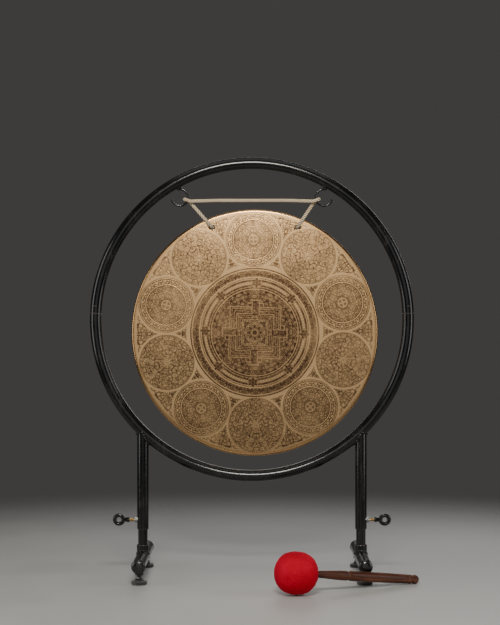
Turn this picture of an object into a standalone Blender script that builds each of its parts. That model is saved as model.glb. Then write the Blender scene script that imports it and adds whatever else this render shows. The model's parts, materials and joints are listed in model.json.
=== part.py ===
"""A tam-tam gong on a round tubular stand, with its beater, modelled as separate pieces.

Metres, +Z up. The stand faces -Y. The origin is on the floor, in the middle of the whole set's box.
The design is worked out in the plane of the hoop: x across, y behind the hoop, z above the floor.
"""

from math import acos, asin, cos, pi, radians, sin, sqrt

import bmesh
import bpy
from mathutils import Matrix, Vector

# ---------------------------------------------------------------- driving dimensions
GAP = 0.0003  # left between pieces that touch

HOOP_RADIUS = 0.380  # centreline of the round hoop
HOOP_HEIGHT = 0.622  # its centre above the floor
TUBE = 0.014  # outer radius of the hoop and leg tubes
HOOP_WALL = 0.0016
SEAM_ANGLE = 2.3  # degrees above the hoop's widest line, where its halves join
SPIGOT = 0.0116
SPIGOT_REACH = 5.0  # degrees of hoop that the spigot fills on each side of a seam
LOCK_ANGLE = 2.6  # degrees from the seam to the screw that locks it

LEG_X = 0.265
LEG_WALL = 0.0020
LEG_FOOT = 0.113  # height of the lower end of a leg tube
POST = 0.0115
POST_WALL = 0.0020
POST_TOP = 0.280
POST_BOTTOM = 0.0392

BAR = 0.016
BAR_WALL = 0.0020
BAR_HEIGHT = 0.046
BAR_HALF = 0.160
CAP_DOME = 0.008
BOSS = 0.0148
BOSS_TOP = 0.075
LEVEL_Y = 0.130  # levelling feet, in front of and behind the post
STUD = 0.005
PAD = 0.0185
PAD_HEIGHT = 0.012

BOLT_HEIGHT = 0.1355
BOLT = 0.004
EYE_X = 0.058  # from the leg's axis to the centre of the eye
EYE_RING = 0.010
EYE_WIRE = 0.004

GONG_RADIUS = 0.301
GONG_X = 0.007  # it hangs a little to one side
GONG_HEIGHT = 0.590
GONG_WALL = 0.0020
GONG_RIM = 0.038
GONG_SHOULDER = 0.009
GONG_DOME = 0.003
HOLE_X = 0.1036
HOLE_RISE = 0.2565
HOLE = 0.0056

HOOK_X = 0.175
HOOK_HEIGHT = 0.9185
HOOK_RING = 0.020
HOOK_WIRE = 0.0024
HOOK_BOSS = 0.006
ROPE = 0.0045
SPAN_RISE = 0.0018
WRAP_ANGLE = -20.0  # degrees, where the rope sits on the inner side of its hook
KNOT = 0.0125

HEAD = 0.050
CORE = 0.031
STEM = 0.0062
HEAD_MOUTH = 0.0084
HEAD_X = 0.100
HEAD_Y = -0.274
BUTT = 0.0108
HANDLE_REACH = 0.322  # from the head's centre to the centre of the rounded butt
HANDLE_HEADING = 28.1  # degrees, the handle's direction on the floor from +X

HOOP_Y = (HEAD - HEAD_Y - BAR_HALF - CAP_DOME) / 2  # puts the set's box evenly about y = 0
HOOP_CENTRE = Vector((0, HOOP_Y, HOOP_HEIGHT))
WRAP = HOOK_WIRE + ROPE + 2 * GAP  # rope centreline round the hook's wire
FACE_Y = HOOP_Y + WRAP + ROPE + 2 * GAP  # front of the gong's face at its holes

UPPER = (SEAM_ANGLE + 0.03, 180 - SEAM_ANGLE - 0.03)  # degrees of hoop in the upper half
LOWER = (-180 - SEAM_ANGLE + 0.03, SEAM_ANGLE - 0.03)
FRAME_PIECES = ("hoop_spigot", "lock_screw", "hook", "leg_tube", "clamp_nut")
HOOP_SIDES = 12
HOOP_STEP = 7.3  # degrees of hoop per facet
FACE_ON = Matrix.Rotation(pi / 2, 4, "X")  # turns local Z to -Y, towards the player


# ---------------------------------------------------------------- helpers
def clear_scene():
    for obj in list(bpy.data.objects):
        bpy.data.objects.remove(obj)


def collection(name):
    made = bpy.data.collections.new(name)
    bpy.context.scene.collection.children.link(made)
    return made


def material(name, colour, roughness, metallic):
    made = bpy.data.materials.new(name)
    made.use_nodes = True
    shader = made.node_tree.nodes["Principled BSDF"]
    shader.inputs["Base Color"].default_value = (*colour, 1)
    shader.inputs["Roughness"].default_value = roughness
    shader.inputs["Metallic"].default_value = metallic
    return made


def add(name, data, finish, place=None):
    """Links one named piece, with its material, at a matrix."""
    obj = bpy.data.objects.new(name, data)
    obj.matrix_world = Matrix.Identity(4) if place is None else place
    if finish is None:
        HELPERS.objects.link(obj)
        obj.hide_render = True
        obj.display_type = "WIRE"
    else:
        PARTS.objects.link(obj)
        data.materials.append(finish)
    return obj


def at(x, y, z):
    return Matrix.Translation((x, y, z))


def along(direction):
    """The rotation that turns local Z to a direction."""
    return Vector(direction).to_track_quat("Z", "Y").to_matrix().to_4x4()


def from_bmesh(bm, name, smooth=40):
    bmesh.ops.recalc_face_normals(bm, faces=bm.faces)
    mesh = bpy.data.meshes.new(name)
    bm.to_mesh(mesh)
    bm.free()
    mesh.shade_smooth()
    mesh.set_sharp_from_angle(angle=radians(smooth))
    return mesh


def rod_mesh(name, radius, length, sides, tip=None):
    """A solid cylinder or cone on local Z, from 0 to its length."""
    bm = bmesh.new()
    bmesh.ops.create_cone(
        bm,
        cap_ends=True,
        segments=sides,
        radius1=radius,
        radius2=radius if tip is None else tip,
        depth=length,
        matrix=at(0, 0, length / 2),
    )
    return from_bmesh(bm, name)


def pipe_mesh(name, radius, length, sides):
    """The open skin of a tube on local Z, which Solidify turns into a wall."""
    bm = bmesh.new()
    bmesh.ops.create_cone(
        bm,
        cap_ends=False,
        segments=sides,
        radius1=radius,
        radius2=radius,
        depth=length,
        matrix=at(0, 0, length / 2),
    )
    return from_bmesh(bm, name)


def solidify(obj, wall):
    shell = obj.modifiers.new("wall", "SOLIDIFY")
    shell.thickness = wall
    shell.offset = -1
    shell.use_even_offset = True


def boolean(obj, other, operation):
    """Joins or cuts, then makes the result the object's own mesh."""
    modifier = obj.modifiers.new(operation.lower(), "BOOLEAN")
    modifier.operation = operation
    modifier.object = other
    bpy.context.view_layer.update()
    evaluated = obj.evaluated_get(bpy.context.evaluated_depsgraph_get())
    mesh = bpy.data.meshes.new_from_object(evaluated)
    obj.modifiers.clear()
    obj.data = mesh
    if other.name in HELPERS.objects:
        bpy.data.objects.remove(other)
    return obj


def turned(name, profile, steps, finish, place):
    """A turned solid on local Z. The profile is (radius, height) pairs, down its outer side."""
    mesh = bpy.data.meshes.new(name)
    points = [(r, 0, z) for r, z in profile]
    closed = profile[0][0] > 0
    links = [(i, i + 1) for i in range(len(points) - 1)]
    if closed:
        links.append((len(points) - 1, 0))
    mesh.from_pydata(points, links, [])
    obj = add(name, mesh, finish, place)
    lathe = obj.modifiers.new("lathe", "SCREW")
    lathe.steps = steps
    lathe.render_steps = steps
    lathe.use_merge_vertices = True
    lathe.merge_threshold = 0.00005
    lathe.use_smooth_shade = True
    return obj


def hex_nut(name, flats, thick, bore, finish, place):
    """A hexagonal nut on local Z, from 0 to its thickness, with a plain round bore."""
    nut = add(name, rod_mesh(name, flats / 2 / cos(pi / 6), thick, 6), finish, place)
    hole = add("nut_bore", rod_mesh("nut_bore", bore, thick * 2, 12), None, place @ at(0, 0, -thick / 2))
    return boolean(nut, hole, "DIFFERENCE")


def tube_along(name, points, radius, sides_level, finish):
    """A round solid that follows points, such as wire or rope."""
    curve = bpy.data.curves.new(name, "CURVE")
    curve.dimensions = "3D"
    curve.bevel_depth = radius
    curve.bevel_resolution = sides_level
    curve.use_fill_caps = True
    spline = curve.splines.new("POLY")
    spline.points.add(len(points) - 1)
    for point, place in zip(spline.points, points):
        point.co = (*place, 1)
    return add(name, curve, finish)


def as_mesh(curve_object):
    """Replaces a curve by its welded mesh, so that it can take a Boolean."""
    bpy.context.view_layer.update()
    evaluated = curve_object.evaluated_get(bpy.context.evaluated_depsgraph_get())
    mesh = bpy.data.meshes.new_from_object(evaluated)
    bm = bmesh.new()
    bm.from_mesh(mesh)
    bmesh.ops.remove_doubles(bm, verts=bm.verts, dist=0.00001)
    bmesh.ops.recalc_face_normals(bm, faces=bm.faces)
    bm.to_mesh(mesh)
    bm.free()
    name = curve_object.name
    place = curve_object.matrix_world.copy()
    finish = curve_object.data.materials[0]
    bpy.data.objects.remove(curve_object)
    mesh.materials.clear()
    return add(name, mesh, finish, place)


def rounded_route(corners, radii, steps=4):
    """Straight runs between corners, each corner rounded off to about its radius."""
    points = [corners[0]]
    for before, corner, after, radius in zip(corners, corners[1:], corners[2:], radii):
        back = (before - corner).normalized()
        ahead = (after - corner).normalized()
        turn = pi - back.angle(ahead)
        cut = radius * sin(turn / 2) / cos(turn / 2)
        start = corner + back * cut
        end = corner + ahead * cut
        for step in range(steps + 1):
            t = step / steps
            points.append(start * (1 - t) ** 2 + corner * 2 * t * (1 - t) + end * t**2)
    points.append(corners[-1])
    kept = [points[0]]
    for point in points[1:]:
        if (point - kept[-1]).length > 0.0004:
            kept.append(point)
    return kept


def pivot(name, place, pieces):
    """An empty on a joint's axis, which carries every piece that turns or slides there."""
    empty = bpy.data.objects.new(name, None)
    empty.empty_display_size = 0.03
    empty.location = place
    PARTS.objects.link(empty)
    bpy.context.view_layer.update()
    for piece in pieces:
        carried = bpy.data.objects[piece]
        carried.parent = empty
        carried.matrix_parent_inverse = empty.matrix_world.inverted()
    return empty


# ---------------------------------------------------------------- hoop
def hoop_arc(name, radius, start, end, finish, wall=None):
    """A length of the hoop's tube, between two angles in degrees measured from +X towards +Z."""
    bm = bmesh.new()
    ring = bmesh.ops.create_circle(bm, segments=HOOP_SIDES, radius=radius, cap_ends=wall is None)
    turn_up = at(HOOP_RADIUS, 0, 0) @ Matrix.Rotation(pi / 2, 4, "X")
    bmesh.ops.transform(bm, matrix=turn_up, verts=ring["verts"])
    bmesh.ops.spin(
        bm,
        geom=bm.verts[:] + bm.edges[:] + bm.faces[:],
        cent=(0, 0, 0),
        axis=(0, 0, 1),
        angle=radians(end - start),
        steps=max(2, round((end - start) / HOOP_STEP)),
    )
    if wall is not None:
        stray = [edge for edge in bm.edges if not edge.link_faces]
        bmesh.ops.delete(bm, geom=stray, context="EDGES")
    place = Matrix.Translation(HOOP_CENTRE) @ FACE_ON @ Matrix.Rotation(radians(start), 4, "Z")
    obj = add(name, from_bmesh(bm, name), finish, place)
    if wall is not None:
        solidify(obj, wall)
    return obj


def on_hoop(angle, radius=HOOP_RADIUS):
    """A point in the hoop's plane, at an angle in degrees from +X towards +Z."""
    a = radians(angle)
    return HOOP_CENTRE + Vector((radius * cos(a), 0, radius * sin(a)))


def build_hoop():
    upper = hoop_arc("upper_hoop", TUBE, *UPPER, BLACK, HOOP_WALL)
    hoop_arc("lower_hoop", TUBE, *LOWER, BLACK, HOOP_WALL)
    for side, seam in (("right", SEAM_ANGLE), ("left", 180 - SEAM_ANGLE)):
        ends = (seam - SPIGOT_REACH, seam + SPIGOT_REACH)
        spigot = hoop_arc(f"{side}_hoop_spigot", SPIGOT, *ends, STEEL, 0.002)
        build_lock_screw(side, seam, (upper, spigot))


def build_lock_screw(side, seam, drilled):
    """A small button-headed screw through the walls of the hoop and its spigot, above the seam."""
    up = 1 if side == "right" else -1
    spot = on_hoop(seam + up * LOCK_ANGLE)
    head_at = at(spot.x, spot.y - TUBE - GAP, spot.z) @ FACE_ON
    shank = 0.0015
    profile = [(0, 0.0022), (0.0022, 0.0018), (0.0036, 0), (shank, 0), (shank, -0.0055), (0, -0.0055)]
    turned(f"{side}_lock_screw", profile, 12, BLACK, head_at)
    for tube in drilled:
        drill_at = at(spot.x, spot.y - TUBE - 0.004, spot.z) @ along((0, 1, 0))
        drill = add("lock_hole", rod_mesh("lock_hole", shank + GAP, 0.011, 12), None, drill_at)
        boolean(tube, drill, "DIFFERENCE")


# ---------------------------------------------------------------- hooks
def build_hook(side, sign):
    """An open C of wire, with the welded boss that holds it under the hoop."""
    centre = Vector((sign * HOOK_X, HOOP_Y, HOOK_HEIGHT))
    sweep = [110 - 277 * i / 18 for i in range(19)]
    points = []
    for degrees in sweep:
        a = radians(degrees)
        points.append(centre + HOOK_RING * Vector((-sign * cos(a), 0, sin(a))))
    hook = as_mesh(tube_along(f"{side}_hook", points, HOOK_WIRE, 2, BLACK))
    boss_foot = HOOK_HEIGHT + HOOK_RING - HOOK_WIRE
    boss_at = at(centre.x, HOOP_Y, boss_foot)
    boss = add("hook_boss", rod_mesh("hook_boss", HOOK_BOSS, 0.018, 12), None, boss_at)
    boolean(hook, boss, "UNION")
    boolean(hook, hoop_arc("hoop_cutter", TUBE + GAP, *UPPER, None), "DIFFERENCE")


# ---------------------------------------------------------------- legs
def build_leg(side, sign):
    """The outer leg tube, coped to the underside of the hoop, with its clamp hole and weld nut."""
    x = sign * LEG_X
    meet = HOOP_HEIGHT - sqrt(HOOP_RADIUS**2 - LEG_X**2)
    leg_skin = pipe_mesh("leg_tube", TUBE, meet - LEG_FOOT, 16)
    leg = add(f"{side}_leg_tube", leg_skin, BLACK, at(x, HOOP_Y, LEG_FOOT))
    solidify(leg, LEG_WALL)
    slope = asin(LEG_X / HOOP_RADIUS)
    lid_at = at(x, HOOP_Y, meet) @ Matrix.Rotation(-sign * slope, 4, "Y")
    lid = add("leg_lid", rod_mesh("leg_lid", 0.05, 0.05, 8), None, lid_at)
    boolean(leg, lid, "DIFFERENCE")
    boolean(leg, hoop_arc("hoop_cutter", TUBE + GAP, *LOWER, None), "DIFFERENCE")
    out = along((sign, 0, 0))
    hole_at = at(x + sign * 0.008, HOOP_Y, BOLT_HEIGHT) @ out
    hole = add("clamp_hole", rod_mesh("clamp_hole", BOLT + 0.0006, 0.01, 12), None, hole_at)
    boolean(leg, hole, "DIFFERENCE")
    nut_at = at(x + sign * (TUBE + GAP), HOOP_Y, BOLT_HEIGHT) @ out
    hex_nut(f"{side}_clamp_nut", 0.013, 0.0068, BOLT + 0.0005, ZINC, nut_at)


def build_eye_bolt(side, sign):
    """The clamp bolt: a plated thread that presses on the post, and the ring that turns it."""
    x = sign * LEG_X
    out = along((sign, 0, 0))
    tip = POST + GAP
    shoulder = EYE_X - EYE_RING - 0.0155
    thread_at = at(x + sign * tip, HOOP_Y, BOLT_HEIGHT) @ out
    add(f"{side}_bolt_thread", rod_mesh("bolt_thread", BOLT, shoulder - tip, 12), BRASS, thread_at)
    ring = [
        Vector((x + sign * EYE_X, HOOP_Y, BOLT_HEIGHT))
        + (EYE_RING * Vector((cos(2 * pi * i / 20), 0, sin(2 * pi * i / 20))))
        for i in range(20)
    ]
    eye = tube_along(f"{side}_bolt_eye", ring, EYE_WIRE, 2, BLACK)
    eye.data.splines[0].use_cyclic_u = True
    eye = as_mesh(eye)
    neck_at = at(x + sign * (shoulder + GAP), HOOP_Y, BOLT_HEIGHT) @ out
    neck = add("eye_neck", rod_mesh("eye_neck", 0.0062, 0.0145, 12, 0.0040), None, neck_at)
    boolean(eye, neck, "UNION")


# ---------------------------------------------------------------- feet
def build_foot(side, sign):
    """The inner post, the T-shaped foot that it stands in, and everything on that foot."""
    x = sign * LEG_X
    post_skin = pipe_mesh("post", POST, POST_TOP - POST_BOTTOM, 16)
    post = add(f"{side}_post", post_skin, BLACK, at(x, HOOP_Y, POST_BOTTOM))
    solidify(post, POST_WALL)

    lay = along((0, 1, 0))
    bar_at = at(x, HOOP_Y - BAR_HALF, BAR_HEIGHT) @ lay
    bar = add(f"{side}_foot_bar", pipe_mesh("foot_bar", BAR, 2 * BAR_HALF, 16), BLACK, bar_at)
    solidify(bar, BAR_WALL)
    bore = POST + 0.0007
    centre = at(x, HOOP_Y, BAR_HEIGHT)
    boolean(bar, add("post_hole", rod_mesh("post_hole", bore, 0.03, 16), None, centre), "DIFFERENCE")

    boss = add(f"{side}_foot_boss", rod_mesh("foot_boss", BOSS, BOSS_TOP - BAR_HEIGHT, 16), BLACK, centre)
    through = add("boss_bore", rod_mesh("boss_bore", bore, 0.05, 16), None, centre @ at(0, 0, -0.005))
    boolean(boss, through, "DIFFERENCE")
    saddle_at = at(x, HOOP_Y - 0.03, BAR_HEIGHT) @ lay
    saddle = add("bar_saddle", rod_mesh("bar_saddle", BAR + GAP, 0.06, 16), None, saddle_at)
    boolean(boss, saddle, "DIFFERENCE")

    for end, way in (("front", -1), ("back", 1)):
        y = HOOP_Y + way * LEVEL_Y
        hole_at = at(x, y, BAR_HEIGHT - 0.026)
        hole = add("stud_hole", rod_mesh("stud_hole", STUD + 0.0006, 0.02, 12), None, hole_at)
        boolean(bar, hole, "DIFFERENCE")
        build_cap(side, end, x, way)
        build_levelling_foot(side, end, x, y)


def build_cap(side, end, x, way):
    """A domed plug that closes one end of a foot bar."""
    face = BAR_HALF + GAP
    plug = BAR - BAR_WALL - GAP * 2
    profile = [
        (0, CAP_DOME - GAP),
        (0.0085, CAP_DOME - 0.0012),
        (0.0135, CAP_DOME - 0.0035),
        (0.0165, 0.0018),
        (0.0165, 0),
        (plug, 0),
        (plug, -0.012),
        (0, -0.012),
    ]
    place = at(x, HOOP_Y + way * face, BAR_HEIGHT) @ along((0, way, 0))
    turned(f"{side}_{end}_cap", profile, 16, RUBBER, place)


def build_levelling_foot(side, end, x, y):
    """A nut under the bar, the stud that screws through it and the pad on the floor."""
    nut_top = BAR_HEIGHT - BAR - GAP
    hex_nut(f"{side}_{end}_level_nut", 0.017, 0.008, STUD + 0.0005, BLACK, at(x, y, nut_top - 0.008))
    stud_at = at(x, y, PAD_HEIGHT + GAP)
    add(f"{side}_{end}_level_stud", rod_mesh("level_stud", STUD, 0.030, 12), STEEL, stud_at)
    profile = [(0, PAD_HEIGHT), (0.0095, PAD_HEIGHT), (PAD, 0.0065), (PAD, 0.0012), (PAD - 0.0012, 0), (0, 0)]
    turned(f"{side}_{end}_level_pad", profile, 16, RUBBER, at(x, y, 0))


# ---------------------------------------------------------------- gong
def build_gong():
    """One dished bronze disc: a slightly domed face, a rounded shoulder and a rim turned back."""
    corner = GONG_RADIUS - GONG_SHOULDER
    outer = [(0, GONG_DOME), (corner * 0.5, GONG_DOME * 0.75), (corner, 0)]
    for degrees in (30, 60, 90):
        a = radians(degrees)
        outer.append((corner + GONG_SHOULDER * sin(a), -GONG_SHOULDER * (1 - cos(a))))
    outer.append((GONG_RADIUS - 0.004, -GONG_RIM))
    inner = [(GONG_RADIUS - 0.004 - GONG_WALL, -GONG_RIM), (GONG_RADIUS - GONG_WALL, -GONG_SHOULDER)]
    bend = GONG_SHOULDER - GONG_WALL
    for degrees in (45, 0):
        a = radians(degrees)
        inner.append((corner + bend * sin(a), -GONG_WALL - bend * (1 - cos(a))))
    inner.append((0, GONG_DOME - GONG_WALL))
    place = at(GONG_X, FACE_Y, GONG_HEIGHT) @ FACE_ON
    gong = turned("gong", outer + inner, 60, BRONZE, place)
    for sign in (-1, 1):
        start = at(GONG_X + sign * HOLE_X, FACE_Y - 0.01, GONG_HEIGHT + HOLE_RISE)
        punch = add("rope_hole", rod_mesh("rope_hole", HOLE, 0.03, 16), None, start @ along((0, 1, 0)))
        boolean(gong, punch, "DIFFERENCE")


# ---------------------------------------------------------------- rope
def rope_corners(sign):
    """Corners of the rope's route on one side, from the level span to the knot, and their radii."""
    a = radians(WRAP_ANGLE)
    inside = Vector((sign * cos(a), 0, -sin(a)))
    wire = Vector((sign * HOOK_X, HOOP_Y, HOOK_HEIGHT)) - HOOK_RING * inside
    front = Vector((0, -WRAP, 0))
    hole = Vector((GONG_X + sign * HOLE_X, HOOP_Y + WRAP, GONG_HEIGHT + HOLE_RISE))
    corners = [
        wire + front - inside * WRAP,
        wire + front + inside * WRAP,
        wire - front + inside * WRAP,
        wire - front - inside * 0.003,
        hole,
        knot_centre(sign),
    ]
    return corners, [0.010, WRAP * 0.99, WRAP * 0.99, 0.010, 0.0055]


def knot_centre(sign):
    y = FACE_Y + GONG_WALL + GAP + KNOT * 0.86
    return Vector((GONG_X + sign * HOLE_X, y, GONG_HEIGHT + HOLE_RISE))


def build_rope():
    """One rope: a level span between the hooks, a turn round each, a strand to each hole, two knots."""
    left, left_radii = rope_corners(-1)
    right, right_radii = rope_corners(1)
    level = [Vector((x, HOOP_Y - WRAP, right[0].z + SPAN_RISE)) for x in (-0.09, 0.09)]
    corners = left[::-1] + level + right
    radii = left_radii[::-1] + [0.03, 0.03] + right_radii
    rope = as_mesh(tube_along("rope", rounded_route(corners, radii), ROPE, 2, ROPE_FINISH))
    for sign in (-1, 1):
        bm = bmesh.new()
        bmesh.ops.create_uvsphere(bm, u_segments=12, v_segments=8, radius=KNOT)
        bmesh.ops.scale(bm, vec=(1, 0.86, 1.1), verts=bm.verts)
        knot = add("knot", from_bmesh(bm, "knot"), None, Matrix.Translation(knot_centre(sign)))
        boolean(rope, knot, "UNION")


# ---------------------------------------------------------------- beater
def beater_place():
    """The beater's own frame: local Z runs from the centre of the head along the handle."""
    heading = radians(HANDLE_HEADING)
    drop = asin((HEAD - BUTT) / HANDLE_REACH)
    way = (cos(drop) * cos(heading), cos(drop) * sin(heading), -sin(drop))
    return at(HEAD_X, HOOP_Y + HEAD_Y, HEAD) @ along(way)


def ball_outline(radius, mouth, count):
    """The outline of a ball from the edge of a round mouth at its top, down to its lowest point."""
    top = acos(mouth / radius)
    points = []
    for i in range(count):
        a = top - (top + pi / 2) * i / count
        points.append((radius * cos(a), radius * sin(a)))
    return points + [(0, -radius)]


def build_beater():
    """A soft round head with a felt cover over a solid core, on a turned wooden handle."""
    place = beater_place()
    stem_end = -0.0195
    hollow = ball_outline(CORE + GAP, HEAD_MOUTH, 7)
    cover = hollow[::-1] + ball_outline(HEAD, HEAD_MOUTH, 11)
    turned("beater_cover", cover, 20, FELT, place)

    core = ball_outline(CORE, HEAD_MOUTH, 7)
    bore = [(0, stem_end - GAP), (STEM + GAP, stem_end - GAP), (STEM + GAP, core[0][1])]
    turned("beater_core", bore + core, 20, CORK, place)

    reach = HANDLE_REACH
    handle = [
        (0, reach + BUTT),
        (BUTT * 0.7, reach + BUTT * 0.72),
        (BUTT, reach),
        (BUTT * 0.92, reach - 0.0075),
        (0.0095, reach - 0.0095),
        (0.0107, reach - 0.0120),
        (0.0107, reach - 0.0170),
        (0.0098, reach - 0.0190),
        (0.0109, reach - 0.0215),
        (0.0116, 0.220),
        (0.0115, 0.142),
        (0.0098, 0.1375),
        (0.0112, 0.1325),
        (0.0110, 0.115),
        (0.0094, 0.085),
        (0.0079, 0.052),
        (0.0077, CORE + 0.001),
        (STEM, CORE + 0.001),
        (STEM, stem_end),
        (0, stem_end),
    ]
    turned("beater_handle", handle, 12, WOOD, place)


# ---------------------------------------------------------------- joints
def build_pivots():
    """Empties on the axes of the set's joints, one carried by the next as on the real stand."""
    frame = ["upper_hoop", "lower_hoop"]
    for side, sign in (("left", -1), ("right", 1)):
        x = sign * LEG_X
        foot = [f"{side}_foot_bar", f"{side}_foot_boss"]
        for end, way in (("front", -1), ("back", 1)):
            leveller = [f"{side}_{end}_level_stud", f"{side}_{end}_level_pad"]
            axis = (x, HOOP_Y + way * LEVEL_Y, PAD_HEIGHT)
            foot.append(pivot(f"{side}_{end}_leveller_turn", axis, leveller).name)
            foot += [f"{side}_{end}_cap", f"{side}_{end}_level_nut"]
        pivot(f"{side}_foot_turn", (x, HOOP_Y, BAR_HEIGHT), foot)
        bolt = [f"{side}_bolt_thread", f"{side}_bolt_eye"]
        bolt_axis = (x + sign * EYE_X, HOOP_Y, BOLT_HEIGHT)
        frame.append(pivot(f"{side}_bolt_turn", bolt_axis, bolt).name)
        frame += [f"{side}_{piece}" for piece in FRAME_PIECES]
    holes = pivot("gong_tilt", (GONG_X, FACE_Y, GONG_HEIGHT + HOLE_RISE), ["gong"])
    wire = HOOK_HEIGHT - HOOK_RING * sin(-radians(WRAP_ANGLE))
    swing = pivot("sling_swing", (0, HOOP_Y, wire), ["rope", holes.name])
    frame.append(swing.name)
    pivot("frame_height", (0, HOOP_Y, LEG_FOOT), frame)
    beater = ["beater_cover", "beater_core", "beater_handle"]
    pivot("beater_lift", (HEAD_X, HOOP_Y + HEAD_Y, HEAD), beater)


clear_scene()
PARTS = collection("tam_tam_gong")
HELPERS = collection("cutters")
BLACK = material("black_paint", (0.018, 0.018, 0.020), 0.28, 0.0)
RUBBER = material("black_rubber", (0.020, 0.020, 0.020), 0.60, 0.0)
STEEL = material("bare_steel", (0.42, 0.41, 0.39), 0.40, 1.0)
ZINC = material("zinc_plate", (0.60, 0.59, 0.56), 0.35, 1.0)
BRASS = material("yellow_plate", (0.72, 0.52, 0.24), 0.32, 1.0)
BRONZE = material("gong_bronze", (0.66, 0.47, 0.27), 0.38, 1.0)
ROPE_FINISH = material("cotton_rope", (0.78, 0.70, 0.58), 0.90, 0.0)
FELT = material("red_felt", (0.62, 0.010, 0.025), 0.95, 0.0)
CORK = material("cork_core", (0.45, 0.30, 0.18), 0.85, 0.0)
WOOD = material("turned_wood", (0.20, 0.085, 0.045), 0.45, 0.0)

build_hoop()
for name, hand in (("left", -1), ("right", 1)):
    build_hook(name, hand)
    build_leg(name, hand)
    build_eye_bolt(name, hand)
    build_foot(name, hand)
build_gong()
build_rope()
build_beater()
build_pivots()
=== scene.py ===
# %% [markdown]
# # A tam-tam on a round stand
#
# This lesson builds a large bronze gong that hangs from a round stand of black tube, with its felt beater.
# The engineering model gives every size, and each piece here is a finer skin over one of its parts.

# %% Load the measured model
import json
from math import acos, asin, atan2, cos, pi, radians, sin, sqrt

import bpy
from mathutils import Matrix, Vector, noise

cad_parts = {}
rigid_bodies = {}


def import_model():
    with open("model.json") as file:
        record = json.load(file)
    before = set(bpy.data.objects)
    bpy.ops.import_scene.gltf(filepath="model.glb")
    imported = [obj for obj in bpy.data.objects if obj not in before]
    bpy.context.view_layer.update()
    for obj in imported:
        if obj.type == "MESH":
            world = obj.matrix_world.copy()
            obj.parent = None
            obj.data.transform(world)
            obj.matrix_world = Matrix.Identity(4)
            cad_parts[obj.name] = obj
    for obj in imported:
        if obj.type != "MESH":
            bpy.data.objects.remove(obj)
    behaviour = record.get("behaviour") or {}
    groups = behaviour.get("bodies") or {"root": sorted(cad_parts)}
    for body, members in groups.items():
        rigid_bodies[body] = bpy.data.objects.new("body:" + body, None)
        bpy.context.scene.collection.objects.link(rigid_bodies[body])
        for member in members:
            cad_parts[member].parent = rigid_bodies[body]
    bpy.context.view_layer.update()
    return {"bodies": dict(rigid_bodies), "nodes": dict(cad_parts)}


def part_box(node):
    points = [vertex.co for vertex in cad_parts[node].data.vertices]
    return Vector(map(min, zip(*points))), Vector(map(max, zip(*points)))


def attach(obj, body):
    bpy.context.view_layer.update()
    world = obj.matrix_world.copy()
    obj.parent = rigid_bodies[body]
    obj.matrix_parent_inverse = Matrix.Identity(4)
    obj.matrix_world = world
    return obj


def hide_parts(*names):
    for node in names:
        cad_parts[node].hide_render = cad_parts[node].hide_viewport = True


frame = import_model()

# %% [markdown]
# ## The camera
#
# A long lens from almost four metres away keeps the hoop round and the legs upright. The camera looks
# straight along +Y with no tilt, so vertical tubes stay parallel and no lens shift is needed.

# %% Camera
hoop_low, hoop_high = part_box("upper_hoop")
HOOP_Y = (hoop_low[1] + hoop_high[1]) / 2
lens = bpy.data.cameras.new("camera")
lens.lens = 92.4
lens.sensor_width = 36
camera = bpy.data.objects.new("camera", lens)
camera.location = (-0.0046, HOOP_Y - 3.9, 0.639)
camera.rotation_euler = (radians(90), 0, 0)
bpy.context.scene.collection.objects.link(camera)
bpy.context.scene.camera = camera
print("hoop plane at y =", round(HOOP_Y, 4))

# %% [markdown]
# ## Sizes that the pieces share
#
# Tubes, wires and threads are described by a few radii. They are the sizes of the engineering model, so the
# fine pieces land on the plain ones that they stand for. Only the gong's shoulder is a little tighter here,
# and the hook wire and the eyes of the clamp bolts are a little thicker.

# %% Shared sizes in metres
GAP = 0.0003
HOOP_RADIUS, HOOP_HEIGHT, TUBE = 0.380, 0.622, 0.014
SEAM_ANGLE, LOCK_ANGLE, SPIGOT = 2.3, 2.6, 0.0116
LEG_X, LEG_FOOT, POST, POST_BOTTOM, POST_TOP = 0.265, 0.113, 0.0115, 0.0392, 0.280
BAR, BAR_HEIGHT, BAR_HALF, BOSS, BOSS_TOP = 0.016, 0.046, 0.160, 0.0148, 0.075
LEVEL_Y, STUD, PAD, BOLT_HEIGHT, BOLT = 0.130, 0.005, 0.0185, 0.1355, 0.004
EYE_X, EYE_RING, EYE_WIRE = 0.058, 0.0104, 0.0045
HOOK_X, HOOK_HEIGHT, HOOK_RING, HOOK_WIRE, HOOK_BOSS = 0.175, 0.9185, 0.020, 0.0024, 0.006
HOOK_DRAWN = HOOK_WIRE * 1.12
ROPE, ROPE_PITCH, KNOT, WRAP_ANGLE, SPAN_RISE = 0.0045, 0.0245, 0.0125, -20.0, 0.0018
GONG_RADIUS, GONG_X, GONG_HEIGHT, GONG_WALL = 0.301, 0.007, 0.590, 0.0020
GONG_RIM, GONG_SHOULDER, GONG_DOME = 0.038, 0.0058, 0.003
HOLE_X, HOLE_RISE, HOLE = 0.1036, 0.2565, 0.0056
HEAD, HEAD_MOUTH, BUTT, REACH, HEADING = 0.050, 0.0084, 0.0108, 0.322, 28.1
WRAP = HOOK_WIRE + ROPE + 2 * GAP
FACE_Y = HOOP_Y + WRAP + ROPE + 2 * GAP
SIDES = (("left", -1), ("right", 1))
ENDS = (("front", -1), ("back", 1))
gong_low, gong_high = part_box("gong")
print("gong across", round(gong_high[0] - gong_low[0], 4), "m, model", 2 * GONG_RADIUS)

# %% [markdown]
# ## Skins made of rings
#
# Nearly everything on this stand is turned or bent from round stock. One helper joins a list of rings with
# four-sided faces. A turned piece gives it circles of changing radius, a bent tube gives it equal circles
# along a curve, and a hexagonal nut gives it six-sided rings.


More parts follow.
